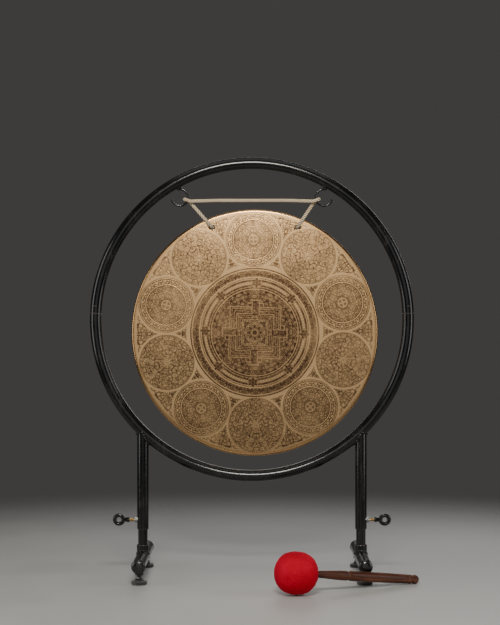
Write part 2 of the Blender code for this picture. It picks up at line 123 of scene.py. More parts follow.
# %% Helpers that make meshes
def new_piece(name, points, faces, finishes, sharp=40):
    mesh = bpy.data.meshes.new(name)
    mesh.from_pydata([tuple(p) for p in points], [], faces)
    mesh.update()
    piece = bpy.data.objects.new(name, mesh)
    bpy.context.scene.collection.objects.link(piece)
    for finish in finishes if isinstance(finishes, (list, tuple)) else [finishes]:
        mesh.materials.append(finish)
    mesh.polygons.foreach_set("use_smooth", [True] * len(mesh.polygons))
    mesh.set_sharp_from_angle(angle=radians(sharp))
    return piece


def skin(rings, closed=True, caps=(False, False)):
    """Points and faces of a surface through rings that have the same number of points each."""
    count = len(rings[0])
    points = [p for ring in rings for p in ring]
    faces = []
    for i in range(len(rings) - 1):
        for j in range(count if closed else count - 1):
            k = (j + 1) % count
            a, b = i * count, (i + 1) * count
            faces.append((a + j, a + k, b + k, b + j))
    for wanted, first in ((caps[0], 0), (caps[1], (len(rings) - 1) * count)):
        if wanted:
            ring = list(range(first, first + count))
            faces.append(tuple(ring[::-1] if first == 0 else ring))
    return points, faces


def circle(radius, z, count=48, place=None, shape=None):
    """One ring about local Z. shape(angle) may change its radius."""
    ring = []
    for j in range(count):
        a = 2 * pi * j / count
        r = shape(a) if shape else radius
        p = Vector((r * cos(a), r * sin(a), z))
        ring.append(place @ p if place else p)
    return ring


def circles(outline, count=48, place=None):
    """One ring for each (radius, z) of an outline."""
    return [circle(r, z, count, place) for r, z in outline]


def hexagon(flats):
    """A shape for circle(): the radius of a hexagon by angle."""
    return lambda a: flats / 2 / cos((a % (pi / 3)) - pi / 6)


def turned(name, outline, finish, place=None, count=48, sharp=40):
    """A piece turned on a lathe: outline is a list of (radius, z)."""
    rings = circles([(max(r, 0.00002), z) for r, z in outline], count, place)
    points, faces = skin(rings, caps=(outline[0][0] < 0.0001, outline[-1][0] < 0.0001))
    return new_piece(name, points, faces, finish, sharp)


def frames(path):
    """A steady pair of side directions for each point of a path, with no sudden twist."""
    last = len(path) - 1
    ahead = [(path[min(i + 1, last)] - path[max(i - 1, 0)]).normalized() for i in range(last + 1)]
    side = ahead[0].orthogonal().normalized()
    pairs = []
    for way in ahead:
        side = (side - way * side.dot(way)).normalized()
        pairs.append((side, way.cross(side)))
    return pairs


def swept(path, radius, count=24, caps=(True, True), shape=None):
    """Points and faces of a bar along a path. radius is a number or one for each point."""
    rings = []
    for i, (p, (side, up)) in enumerate(zip(path, frames(path))):
        r = radius[i] if isinstance(radius, (list, tuple)) else radius
        ring = []
        for j in range(count):
            a = 2 * pi * j / count
            s = r * (shape(i, a) if shape else 1)
            ring.append(p + side * (s * cos(a)) + up * (s * sin(a)))
        rings.append(ring)
    return skin(rings, caps=caps)


def merged(parts):
    """Several (points, faces) as one."""
    points, faces = [], []
    for some_points, some_faces in parts:
        shift = len(points)
        points += some_points
        faces += [tuple(i + shift for i in face) for face in some_faces]
    return points, faces


def mark(piece, name, value):
    """Stores value(point) on the mesh, so that its material can read where it is worn or dark."""
    store = piece.data.attributes.new(name, "FLOAT", "POINT")
    store.data.foreach_set("value", [float(value(v.co)) for v in piece.data.vertices])


def at(x, y, z):
    return Matrix.Translation((x, y, z))


def along(way):
    return Vector(way).to_track_quat("Z", "Y").to_matrix().to_4x4()


def placed(part, place):
    points, faces = part
    return [place @ Vector(p) for p in points], faces


def apply_modifiers(piece):
    """Gives the piece the mesh that its modifiers make."""
    shaped = piece.evaluated_get(bpy.context.evaluated_depsgraph_get())
    mesh = bpy.data.meshes.new_from_object(shaped)
    piece.modifiers.clear()
    piece.data = mesh


# %% [markdown]
# ## Values that draw: arithmetic on shader nodes
#
# A procedural finish is arithmetic: add, multiply, compare. Wiring each Math node by hand hides that, so a
# small class lets Python's own signs place the nodes. `a + b` on two fields is one Math node.


# %% A field of values on a node tree
def plug(tree, value, slot):
    """Joins a field or a socket to a slot, or writes a plain value on it."""
    if isinstance(value, Field):
        tree.links.new(value.socket, slot)
    elif isinstance(value, bpy.types.NodeSocket):
        tree.links.new(value, slot)
    else:
        slot.default_value = value


class Field:
    def __init__(self, tree, socket):
        self.tree, self.socket = tree, socket

    def math(self, operation, *others):
        node = self.tree.nodes.new("ShaderNodeMath")
        node.operation = operation
        for slot, value in zip(node.inputs, (self, *others)):
            plug(self.tree, value, slot)
        return Field(self.tree, node.outputs[0])

    def __add__(self, other):
        return self.math("ADD", other)

    def __sub__(self, other):
        return self.math("SUBTRACT", other)

    def __mul__(self, other):
        return self.math("MULTIPLY", other)

    def __truediv__(self, other):
        return self.math("DIVIDE", other)

    __radd__ = __add__
    __rmul__ = __mul__

    def __rsub__(self, other):
        return self * -1 + other

    def __abs__(self):
        return self.math("ABSOLUTE")

    def cos(self):
        return self.math("COSINE")

    def sin(self):
        return self.math("SINE")

    def least(self, other):
        return self.math("MINIMUM", other)

    def most(self, other):
        return self.math("MAXIMUM", other)

    def step(self, low, high):
        """0 below low, 1 above high, smooth between. With low above high it falls instead."""
        node = self.tree.nodes.new("ShaderNodeMapRange")
        node.interpolation_type = "SMOOTHSTEP"
        self.tree.links.new(self.socket, node.inputs["Value"])
        node.inputs["From Min"].default_value = low
        node.inputs["From Max"].default_value = high
        return Field(self.tree, node.outputs["Result"])

    def line(self, where, half, soft=0.6):
        """1 within half of where, fading out over half times soft."""
        return abs(self - where).step(half * (1 + soft), half)

    def lines(self, *pairs):
        """Several lines at once, each given as where and half."""
        return any_of(*[self.line(where, half) for where, half in pairs])


def any_of(first, *others):
    """The largest of several fields, which draws them over each other."""
    for other in others:
        first = first.most(other)
    return first


def length(x, y):
    return (x * x + y * y).math("SQRT")


def vector(tree, x, y, z=0.0):
    node = tree.nodes.new("ShaderNodeCombineXYZ")
    for slot, value in zip(node.inputs, (x, y, z)):
        plug(tree, value, slot)
    return node.outputs[0]


def parts_of(tree, socket):
    node = tree.nodes.new("ShaderNodeSeparateXYZ")
    tree.links.new(socket, node.inputs[0])
    return [Field(tree, out) for out in node.outputs]


def noise_field(tree, place, scale, detail=2.0, rough=0.5, warp=0.0):
    node = tree.nodes.new("ShaderNodeTexNoise")
    settings = {"Vector": place, "Scale": scale, "Detail": detail, "Roughness": rough, "Distortion": warp}
    for label, value in settings.items():
        plug(tree, value, node.inputs[label])
    return Field(tree, node.outputs["Fac"])


def cells(tree, place, scale, feature="F1"):
    """Voronoi cells: the distance to the nearest seed, or to the nearest cell wall."""
    node = tree.nodes.new("ShaderNodeTexVoronoi")
    node.feature = feature
    plug(tree, place, node.inputs["Vector"])
    plug(tree, scale, node.inputs["Scale"])
    return Field(tree, node.outputs["Distance"])


def marked(tree, name):
    """The value that mark() stored on the mesh under this name."""
    node = tree.nodes.new("ShaderNodeAttribute")
    node.attribute_name = name
    return Field(tree, node.outputs["Fac"])


def drawn_out(tree, place, squeeze):
    """Coordinates with a squeezed Z, which make a texture run along Z."""
    node = tree.nodes.new("ShaderNodeVectorMath")
    node.operation = "MULTIPLY"
    node.inputs[1].default_value = (1.0, 1.0, squeeze)
    tree.links.new(place, node.inputs[0])
    return node.outputs[0]


def new_group(name, inputs, outputs):
    """A shader node group with named sockets. Returns the tree, its input fields and its output node."""
    tree = bpy.data.node_groups.new(name, "ShaderNodeTree")
    for label, kind, value in inputs:
        socket = tree.interface.new_socket(label, in_out="INPUT", socket_type=kind)
        if value is not None:
            socket.default_value = value
    for label, kind in outputs:
        tree.interface.new_socket(label, in_out="OUTPUT", socket_type=kind)
    source = tree.nodes.new("NodeGroupInput")
    target = tree.nodes.new("NodeGroupOutput")
    fields = {label: Field(tree, source.outputs[label]) for label, kind, value in inputs}
    return tree, fields, target


def put_out(tree, target, **values):
    for label, field in values.items():
        tree.links.new(field.socket, target.inputs[label.replace("_", " ")])


def use_group(tree, group, **values):
    """Places a group and returns its outputs as fields by name."""
    node = tree.nodes.new("ShaderNodeGroup")
    node.node_tree = group
    for label, value in values.items():
        plug(tree, value, node.inputs[label.replace("_", " ")])
    return {out.name: Field(tree, out) for out in node.outputs}


F, V = "NodeSocketFloat", "NodeSocketVector"
print("node helpers ready")

# %% [markdown]
# ## Effects that several finishes share
#
# Handling leaves the same traces on every finish: cloudy smears, fine scratches, and a little dust on faces
# that look up. Each effect is a shader node group, placed in a material with its own strength.

# %% Group: smears and scratches
tree, given, target = new_group(
    "handling marks",
    [("Place", V, None), ("Smear size", F, 9.0), ("Scratch size", F, 60.0)],
    [("Smear", F), ("Scratch", F), ("Grain", F)],
)
smear = noise_field(tree, given["Place"].socket, given["Smear size"], 4.0, 0.55, 0.6)
fine = noise_field(tree, drawn_out(tree, given["Place"].socket, 0.06), given["Scratch size"], 3.0, 0.6, 1.4)
scratch = fine.line(0.5, 0.012, 1.2) * smear.step(0.45, 0.62)
grain = noise_field(tree, given["Place"].socket, 900.0, 2.0, 0.6)
put_out(tree, target, Smear=smear, Scratch=scratch, Grain=grain)
HANDLING = tree

# %% Group: dust on faces that look up
tree, given, target = new_group("dust on top", [("Place", V, None), ("Amount", F, 0.5)], [("Dust", F)])
geometry = tree.nodes.new("ShaderNodeNewGeometry")
up = parts_of(tree, geometry.outputs["Normal"])[2]
speck = noise_field(tree, given["Place"].socket, 260.0, 4.0, 0.7)
patch = noise_field(tree, given["Place"].socket, 22.0, 2.0, 0.5)
dust = up.step(0.15, 1.0) * speck.step(0.38, 0.72) * (patch * 0.8 + 0.3) * given["Amount"]
put_out(tree, target, Dust=dust)
DUST = tree

# %% Group: finish worn off edges
tree, given, target = new_group("worn edges", [("Place", V, None), ("Amount", F, 0.5)], [("Worn", F)])
geometry = tree.nodes.new("ShaderNodeNewGeometry")
edge = Field(tree, geometry.outputs["Pointiness"]).step(0.53, 0.64)
chip = noise_field(tree, given["Place"].socket, 420.0, 4.0, 0.65)
rubbed = edge * given["Amount"] * chip.step(0.50, 0.62)
put_out(tree, target, Worn=rubbed.most(marked(tree, "bare") * chip.step(0.30, 0.46)))
WORN = tree
print("shared groups:", HANDLING.name, "/", DUST.name, "/", WORN.name)

# %% [markdown]
# ## A blank material
#
# Every material starts with a Principled shader and object coordinates. Values that are the same all over
# go straight on the shader's sockets, and only values that vary come through nodes.


# %% Helpers that make materials
def new_material(name, **constants):
    finish = bpy.data.materials.new(name)
    finish.use_nodes = True
    tree = finish.node_tree
    shader = tree.nodes["Principled BSDF"]
    for label, value in constants.items():
        shader.inputs[label.replace("_", " ")].default_value = value
    place = tree.nodes.new("ShaderNodeTexCoord").outputs["Object"]
    return finish, tree, shader, place


def handled(tree, place, smear_size, scratch_size):
    return use_group(tree, HANDLING, Place=place, Smear_size=smear_size, Scratch_size=scratch_size)


def dusted(tree, place, amount):
    return use_group(tree, DUST, Place=place, Amount=amount)["Dust"]


def ramp(tree, field, stops):
    node = tree.nodes.new("ShaderNodeValToRGB")
    tree.links.new(field.socket, node.inputs["Fac"])
    while len(node.color_ramp.elements) < len(stops):
        node.color_ramp.elements.new(0.5)
    for element, (where, colour) in zip(node.color_ramp.elements, stops):
        element.position = where
        element.color = (*colour, 1)
    return node.outputs["Color"]


def mixed(tree, mask, first, second, blend="MIX"):
    node = tree.nodes.new("ShaderNodeMix")
    node.data_type = "RGBA"
    node.blend_type = blend
    for slot, value in ((0, mask), (6, first), (7, second)):
        plug(tree, (*value, 1) if isinstance(value, tuple) else value, node.inputs[slot])
    return node.outputs[2]


def bump(tree, shader, height, distance, strength=1.0):
    node = tree.nodes.new("ShaderNodeBump")
    node.inputs["Distance"].default_value = distance
    node.inputs["Strength"].default_value = strength
    tree.links.new(height.socket, node.inputs["Height"])
    tree.links.new(node.outputs["Normal"], shader.inputs["Normal"])


def feed(tree, shader, **values):
    for label, value in values.items():
        plug(tree, value, shader.inputs[label.replace("_", " ")])


print("material helpers ready")

# %% [markdown]
# ## Black stove paint
#
# The tubes carry one coat of glossy black. Spray paint dries with a faint orange-peel surface, gathers dust
# on top, and wears through to dull steel at edges and tube ends, where the `bare` mark on the mesh says so.

# %% Black paint
BLACK, tree, shader, place = new_material("black_paint", Specular_IOR_Level=0.42)
traces = handled(tree, place, 14.0, 48.0)
dust = dusted(tree, place, 0.15)
worn = use_group(tree, WORN, Place=place, Amount=0.25)["Worn"]
paint = ramp(tree, traces["Smear"], [(0.35, (0.0025, 0.0025, 0.003)), (0.65, (0.0060, 0.0058, 0.0058))])
paint = mixed(tree, traces["Scratch"] * 0.25, paint, (0.07, 0.07, 0.07))
paint = mixed(tree, dust * 0.25, paint, (0.16, 0.15, 0.14))
feed(
    tree,
    shader,
    Base_Color=mixed(tree, worn, paint, (0.17, 0.145, 0.125)),
    Roughness=(traces["Smear"] * 0.10 + 0.13 + dust * 0.2).least(0.9),
    Metallic=worn * 0.9,
)
peel = noise_field(tree, place, 150.0, 1.0, 0.4)
bump(tree, shader, peel * 0.4 - worn * 0.8 - traces["Scratch"] * 0.1, 0.00003, 0.05)
print("material:", BLACK.name)

# %% [markdown]
# ## Plastic caps and rubber pads
#
# The caps are moulded in a shiny black plastic with a faint flow pattern. The pads are a dull rubber that
# has picked up floor dust, so they look greyer than the paint.

# %% Moulded plastic
PLASTIC, tree, shader, place = new_material("black_plastic", Specular_IOR_Level=0.55)
traces = handled(tree, place, 30.0, 70.0)
dust = dusted(tree, place, 0.4)
plastic = ramp(tree, traces["Smear"], [(0.3, (0.006, 0.006, 0.006)), (0.7, (0.014, 0.0135, 0.013))])
feed(
    tree,
    shader,
    Base_Color=mixed(tree, dust * 0.5, plastic, (0.22, 0.21, 0.19)),
    Roughness=traces["Smear"] * 0.10 + 0.09 + traces["Scratch"] * 0.2 + dust * 0.3,
)
bump(tree, shader, traces["Grain"] * 0.4 - traces["Scratch"], 0.00004)

# %% Rubber
RUBBER, tree, shader, place = new_material("black_rubber", Specular_IOR_Level=0.4, Sheen_Weight=0.15)
traces = handled(tree, place, 40.0, 90.0)
dust = dusted(tree, place, 0.35)
rubber = ramp(tree, traces["Smear"], [(0.3, (0.018, 0.017, 0.016)), (0.7, (0.038, 0.036, 0.034))])
feed(
    tree,
    shader,
    Base_Color=mixed(tree, dust * 0.6 + traces["Scratch"] * 0.2, rubber, (0.25, 0.24, 0.22)),
    Roughness=traces["Smear"] * 0.2 + 0.42 + traces["Grain"] * 0.08,
)
bump(tree, shader, traces["Grain"] + traces["Smear"] * 0.5, 0.00008)
print("materials:", PLASTIC.name, RUBBER.name)

# %% [markdown]
# ## Plated and bare steel
#
# Plating follows the turning marks of the steel below it. One recipe with three tints makes the bare studs,
# the zinc-plated clamp nuts and the yellow-plated clamp threads.


# %% Plated metals
def plated(name, dark, light, rough):
    finish, tree, shader, place = new_material(name)
    traces = handled(tree, place, 120.0, 260.0)
    stain = noise_field(tree, place, 340.0, 5.0, 0.6)
    tint = ramp(tree, traces["Smear"], [(0.3, dark), (0.7, light)])
    tint = mixed(tree, stain.step(0.60, 0.74) * 0.5, tint, tuple(0.35 * c for c in dark))
    feed(
        tree,
        shader,
        Base_Color=tint,
        Metallic=stain.step(0.60, 0.78) * -0.4 + 1.0,
        Roughness=traces["Smear"] * 0.18 + rough + stain.step(0.55, 0.75) * 0.25,
    )
    bump(tree, shader, traces["Grain"] * 0.6 + traces["Scratch"] * 0.5, 0.00005)
    return finish


STEEL = plated("bare_steel", (0.13, 0.125, 0.12), (0.24, 0.235, 0.23), 0.26)
ZINC = plated("zinc_plate", (0.36, 0.36, 0.35), (0.62, 0.62, 0.60), 0.16)
YELLOW = plated("yellow_plate", (0.48, 0.32, 0.12), (0.68, 0.49, 0.22), 0.20)
print("materials:", STEEL.name, ZINC.name, YELLOW.name)

# %% [markdown]
# ## The engraving, part one: filigree
#
# A mandala is covered by lines that repeat like a kaleidoscope. Folding the angle round a centre turns any
# texture into such a repeat: every sector shows the same one, mirrored. Contour lines of a folded noise curl
# like scrollwork, and the walls and seeds of folded cells add a net with dots. It stays a plain ornament.

# %% Group: filigree
tree, given, target = new_group(
    "filigree",
    [("Place", V, None), ("Fold", F, 8.0), ("Size", F, 4.0), ("Seed", F, 0.0)],
    [("Cut", F)],
)
x, y = parts_of(tree, given["Place"].socket)[:2]
reach = length(x, y)
turn = y.math("ARCTAN2", x)
sector = turn.math("PINGPONG", given["Fold"].math("POWER", -1.0) * pi)
folded = vector(tree, reach * sector.cos(), reach * sector.sin(), given["Seed"])
curl = noise_field(tree, folded, given["Size"], 1.0, 0.5, 0.9)
contour = abs((curl * 7.0).math("FRACT") - 0.5).step(0.17, 0.11)
wall = cells(tree, folded, given["Size"] * 1.5, "DISTANCE_TO_EDGE").step(0.16, 0.10)
seed = cells(tree, folded, given["Size"] * 1.5).step(0.26, 0.20)
deep = curl.step(0.36, 0.62) * 0.25 + 0.75
put_out(tree, target, Cut=(contour * 0.7).most(wall).most(seed * 0.85) * deep)
FILIGREE = tree


def filigree(tree, place, fold, size, seed):
    return use_group(tree, FILIGREE, Place=place, Fold=fold, Size=size, Seed=seed)["Cut"]


# %% [markdown]
# ## The engraving, part two: the ring of roundels
#
# Ten roundels stand round the face, with plain gold rings left between them. One sector of 36 degrees is
# drawn, and the angle is folded back into it ten times. Even sectors hold a small emblem in a lace band, and
# odd ones are filled to the edge with scrolls.

# %% Group: roundels
tree, given, target = new_group("roundels", [("Place", V, None)], [("Cut", F)])
x, y = parts_of(tree, given["Place"].socket)[:2]
reach = length(x, y)
SECTOR, ROUNDEL_REACH, ROUNDEL = radians(36), 0.752, 0.226
turn = y.math("ARCTAN2", x) - pi / 2
number = (turn / SECTOR).math("ROUND")
swing = turn - number * SECTOR
odd = abs(number).math("MODULO", 2.0)
u = (reach * swing.cos() - ROUNDEL_REACH) / ROUNDEL
v = reach * swing.sin() / ROUNDEL
inner = length(u, v)
local = vector(tree, u, v)
edge = inner.line(0.975, 0.012) * 0.75
lace = filigree(tree, local, 18.0, 6.2, 3.0) * 0.92 + 0.04
band = lace * inner.step(0.765, 0.78) * inner.step(0.955, 0.94)
band = band.most(inner.lines((0.756, 0.009), (0.694, 0.010)))
heart = filigree(tree, local, 4.0, 5.6, 9.0) * 0.60 + 0.24
heart = heart * (1.0 - inner.line(0.47, 0.010) * 0.35) * inner.step(0.694, 0.684)
knob = inner.step(0.215, 0.20)
cross = (abs(u).least(abs(v)) * -1 + 0.04).step(0.0, 0.02) * inner.step(0.16, 0.15)
petal = inner.step(0.15, 0.14) * (1.0 - cross * 0.7) * 0.75
even_cut = any_of(band, heart * (1.0 - knob), inner.line(0.20, 0.016) * 0.8, petal)
scroll = filigree(tree, local, 3.0, 4.4, 21.0)
weave = filigree(tree, local, 8.0, 6.6, 4.0)
odd_cut = (scroll * 0.50 + weave * 0.42 + 0.06) * (1.0 - inner.line(0.60, 0.010) * 0.3)
odd_cut = odd_cut * inner.step(0.10, 0.12)
odd_cut = odd_cut.most(inner.step(0.085, 0.075) * (1.0 - inner.line(0.045, 0.012)) * 0.8)
odd_cut = odd_cut * inner.step(0.965, 0.95)
around = vector(tree, reach * turn.cos(), reach * turn.sin())
spandrel = filigree(tree, around, 10.0, 22.0, 5.0) * 0.88 + 0.06
spandrel = spandrel * inner.step(1.06, 1.075) * reach.step(0.550, 0.558) * reach.step(0.962, 0.952)
put_out(tree, target, Cut=edge.most(even_cut * (1.0 - odd) + odd_cut * odd).most(spandrel))
ROUNDELS = tree

# %% [markdown]
# ## The engraving, part three: the centre
#
# Inside the roundels come a dark band, a ring of light arcs broken by eight flowers, and a dark disc with a
# square palace: nested squares, a T-shaped gate on each side, and a lotus in the middle. Squares are drawn
# with the larger of |x| and |y|, and a lotus is a circle whose radius swings with the angle.

# %% Group: centre
tree, given, target = new_group("mandala centre", [("Place", V, None)], [("Cut", F)])
x, y = parts_of(tree, given["Place"].socket)[:2]
place = given["Place"].socket
reach = length(x, y)
turn = y.math("ARCTAN2", x)
bright = reach.lines((0.508, 0.0035), (0.447, 0.004)).most(reach.line(0.352, 0.003) * 0.7)
garland = filigree(tree, place, 32.0, 26.0, 2.0)
band = (garland * 0.50 + 0.50) * reach.line(0.480, 0.037, 0.1)
dashes = (turn * 110.0).cos().step(-0.3, 0.4)
TILT, EIGHTH = radians(3), radians(45)
slant = turn + TILT
eighth = abs(slant - (slant / EIGHTH).math("ROUND") * EIGHTH)
flower_u = reach * eighth.cos() - 0.405
flower_v = reach * eighth.sin()
flower = length(flower_u, flower_v)
flower_turn = flower_v.math("ARCTAN2", flower_u)
broken = eighth.step(radians(5), radians(8))
arcs = reach.line(0.400, 0.0085) * (1.0 - dashes * 0.35) * broken
lane = any_of(reach.line(0.432, 0.0030) * 0.8, arcs, reach.line(0.370, 0.0025) * 0.5)
ring_cut = filigree(tree, place, 32.0, 30.0, 7.0) * 0.34 + 0.66
ring_cut = ring_cut * (1.0 - lane * 0.85) * reach.step(0.446, 0.440)
crest_edge = 0.031 + (flower_turn * 6.0).cos() * 0.008
crest = (flower - crest_edge).step(0.004, 0.0) * (1.0 - flower.line(0.016, 0.0025) * 0.6)
crest = crest.most(abs(flower_v).step(0.005, 0.003) * abs(flower_u).step(0.058, 0.052))
crest_zone = flower.step(0.048, 0.044)
swing = cos(TILT), sin(TILT)
px, py = abs(x * swing[0] - y * swing[1]), abs(x * swing[1] + y * swing[0])
square, lesser = px.most(py), px.least(py)
WALLS = [(0.205, 0.0030), (0.190, 0.0018), (0.172, 0.0014), (0.150, 0.0028)]
WALLS += [(0.136, 0.0014), (0.121, 0.0014), (0.104, 0.0024), (0.092, 0.0016)]
walls = square.lines(*WALLS) * (1.0 - lesser.step(0.030, 0.027) * square.step(0.14, 0.145))
stairs = (px - py).line(0.0, 0.0022) * square.step(0.104, 0.108) * square.step(0.150, 0.146)
gate = any_of(
    square.line(0.238, 0.0032) * lesser.step(0.066, 0.062) * lesser.step(0.026, 0.030),
    square.line(0.262, 0.0036) * lesser.step(0.046, 0.042),
    lesser.line(0.029, 0.0030) * square.step(0.146, 0.150) * square.step(0.262, 0.258),
    lesser.line(0.064, 0.0026) * square.step(0.206, 0.210) * square.step(0.240, 0.236),
)
petals = reach.line(0.322 + abs((turn * 16.0).cos()) * 0.014, 0.0024) * 0.55
petals = any_of(petals, reach.line(0.300, 0.0020) * 0.5, reach.line(0.288, 0.0016) * 0.4)
lotus = reach.line(0.060 + (turn * 8.0).cos() * 0.011, 0.0032)
lotus = lotus.most(reach.lines((0.026, 0.0028), (0.079, 0.0022)))
court = filigree(tree, place, 8.0, 24.0, 14.0)
drawn = any_of(walls, stairs, gate, petals, lotus)
patch = noise_field(tree, vector(tree, px, py), 11.0, 1.0, 0.5).step(0.40, 0.62)
disc_cut = (court * 0.34 + 0.70) * (1.0 - patch * (1.0 - court) * 0.25) * (1.0 - drawn * 0.44)
disc = reach.step(0.356, 0.350)
inside = any_of(disc_cut * disc, ring_cut * (1.0 - disc), crest * 0.95 * (1.0 - disc * 0.4))
inside = inside * (1.0 - crest_zone * (1.0 - crest) * 0.3)
whole = any_of(inside, band, reach.line(0.519, 0.0035) * 0.9)
put_out(tree, target, Cut=whole * (1.0 - bright * 0.8))
CENTRE = tree
print("engraving groups:", FILIGREE.name, "/", ROUNDELS.name, "/", CENTRE.name)

# %% [markdown]
# ## Bronze
#
# The face is etched: the ground is a shade deeper and duller than the lines left standing. The back and rim
# show the same bronze, turned and hammered, with a brown patina. Both use the same cloudy patina group.

# %% Group: patina on bronze
tree, given, target = new_group(
    "bronze patina",
    [("Place", V, None), ("Brown", F, 0.4)],
    [("Patina", F), ("Turning", F), ("Stipple", F)],
)
x, y = parts_of(tree, given["Place"].socket)[:2]
reach = length(x, y)
cloud = noise_field(tree, given["Place"].socket, 7.0, 5.0, 0.62, 1.2)
turning = noise_field(tree, vector(tree, reach * 900.0, 0.0, 0.0), 1.0, 2.0, 0.6)
stipple = noise_field(tree, given["Place"].socket, 1400.0, 2.0, 0.6)
put_out(tree, target, Patina=cloud.step(0.30, 0.72) * given["Brown"], Turning=turning, Stipple=stipple)
PATINA = tree

# %% Engraved bronze face
BRONZE_FACE, tree, shader, place = new_material("bronze_face", Specular_IOR_Level=0.5)
x, y = parts_of(tree, place)[:2]
FACE_TILT = radians(0.8)
along_x = x * cos(FACE_TILT) + y * sin(FACE_TILT)
along_y = y * cos(FACE_TILT) - x * sin(FACE_TILT)
flat = vector(tree, along_x / GONG_RADIUS, along_y / GONG_RADIUS)
centre = use_group(tree, CENTRE, Place=flat)["Cut"]
ring = use_group(tree, ROUNDELS, Place=flat)["Cut"]
reach = length(*parts_of(tree, flat)[:2])
outer_zone = reach.step(0.524, 0.528)
cut = (centre * (1.0 - outer_zone)).most(ring * outer_zone)
traces = handled(tree, place, 11.0, 40.0)
patina = use_group(tree, PATINA, Place=place, Brown=0.45)
rubbed = cut * (1.0 - traces["Smear"].step(0.45, 0.75) * 0.25)
metal = mixed(tree, rubbed, (0.75, 0.480, 0.228), (0.066, 0.034, 0.019))
# Painted shade: the face turns darker and browner towards its edge and over the shoulder, a painted dark
# reflection there.
metal = mixed(tree, reach.step(0.958, 0.985) * 0.6, metal, (0.42, 0.23, 0.09))
metal = mixed(tree, patina["Patina"] * 0.45, metal, mixed(tree, 0.5, metal, (0.22, 0.11, 0.055)))
feed(
    tree,
    shader,
    Base_Color=metal,
    Metallic=patina["Patina"] * -0.10 + 1.0,
    Roughness=cut * 0.09 + 0.160 + traces["Smear"] * 0.08 + patina["Stipple"] * 0.03,
)
bump(tree, shader, patina["Stipple"] * 0.15 + traces["Scratch"] * 0.2 - cut, 0.00008, 0.6)

# %% Plain bronze back and rim
BRONZE_BACK, tree, shader, place = new_material("bronze_back", Coat_Weight=0.15, Coat_Roughness=0.35)
traces = handled(tree, place, 10.0, 36.0)
patina = use_group(tree, PATINA, Place=place, Brown=0.9)
metal = mixed(tree, patina["Patina"], (0.60, 0.42, 0.25), (0.27, 0.165, 0.09))
metal = mixed(tree, traces["Scratch"] * 0.4, metal, (0.80, 0.60, 0.38))
dents = cells(tree, place, 62.0, "SMOOTH_F1")
feed(
    tree,
    shader,
    Base_Color=metal,
    Metallic=patina["Patina"] * -0.25 + 0.95,
    Roughness=patina["Turning"] * 0.15 + 0.30 + traces["Smear"] * 0.12,
)
bump(tree, shader, dents * 5.0 + patina["Turning"] * 0.35, 0.0003, 0.8)
print("materials:", BRONZE_FACE.name, BRONZE_BACK.name)

# %% [markdown]
# ## Cotton, felt, cork and wood
#
# The rope is cream cotton, painted greyer and darker on its lower runs, from below the gong's top edge down
# to the knots.
# The yarn valleys are real shape, and a mark on the mesh paints shade into them as darker colour. Felt is a
# mat of fibres with a soft sheen. The wood is dark and oiled.
# The cork has no piece of its own: it goes straight on the engineering model's core, under the felt.

# %% Cotton rope
COTTON, tree, shader, place = new_material(
    "cotton_rope", Sheen_Weight=0.12, Sheen_Roughness=0.5, Specular_IOR_Level=0.2
)
fibre = noise_field(tree, place, 1500.0, 3.0, 0.6)
blotch = noise_field(tree, place, 55.0, 4.0, 0.6)
cream = ramp(tree, blotch, [(0.32, (0.76, 0.59, 0.36)), (0.68, (0.95, 0.79, 0.54))])
# The lower runs are painted greyer and darker by height alone, from below the gong's top edge down to the
# knots.
cream = mixed(tree, marked(tree, "grey") * 0.75, cream, (0.34, 0.31, 0.26))
cream = mixed(tree, fibre * 0.25, cream, (0.92, 0.82, 0.62))
# Painted shade: the creases between strands and yarns are coloured dark brown by their depth.
cream = mixed(tree, marked(tree, "crease_shade") * 0.85, cream, (0.16, 0.115, 0.07))
feed(tree, shader, Base_Color=cream, Roughness=fibre * 0.15 + 0.80)
bump(tree, shader, fibre, 0.0004, 0.7)

# %% Red felt
FELT, tree, shader, place = new_material(
    "red_felt",
    Sheen_Weight=0.22,
    Sheen_Roughness=0.4,
    Sheen_Tint=(1.0, 0.08, 0.16, 1),
    Specular_IOR_Level=0.08,
)
fibre = noise_field(tree, place, 520.0, 4.0, 0.62, 1.6)
tuft = noise_field(tree, place, 90.0, 3.0, 0.6, 0.6)
cloud = noise_field(tree, place, 18.0, 3.0, 0.55)
REDS = [(0.30, (0.27, 0.0008, 0.009)), (0.52, (0.48, 0.0015, 0.019)), (0.72, (0.66, 0.008, 0.040))]
red = ramp(tree, fibre * 0.6 + cloud * 0.4, REDS)
red = mixed(tree, tuft.step(0.60, 0.75) * 0.35, red, (0.18, 0.001, 0.004))
feed(tree, shader, Base_Color=red, Roughness=fibre * 0.2 + 0.75)
bump(tree, shader, fibre * 0.7 + tuft * 0.6, 0.0011, 0.8)

# %% Cork core
CORK, tree, shader, place = new_material("cork_core")
cell = cells(tree, place, 420.0)
cork = ramp(tree, cell, [(0.2, (0.46, 0.30, 0.17)), (0.7, (0.22, 0.12, 0.06))])
feed(tree, shader, Base_Color=cork, Roughness=cell * 0.2 + 0.75)
bump(tree, shader, cell, 0.0004)
for slot in frame["nodes"]["beater_core"].material_slots:
    slot.link = "OBJECT"
    slot.material = CORK

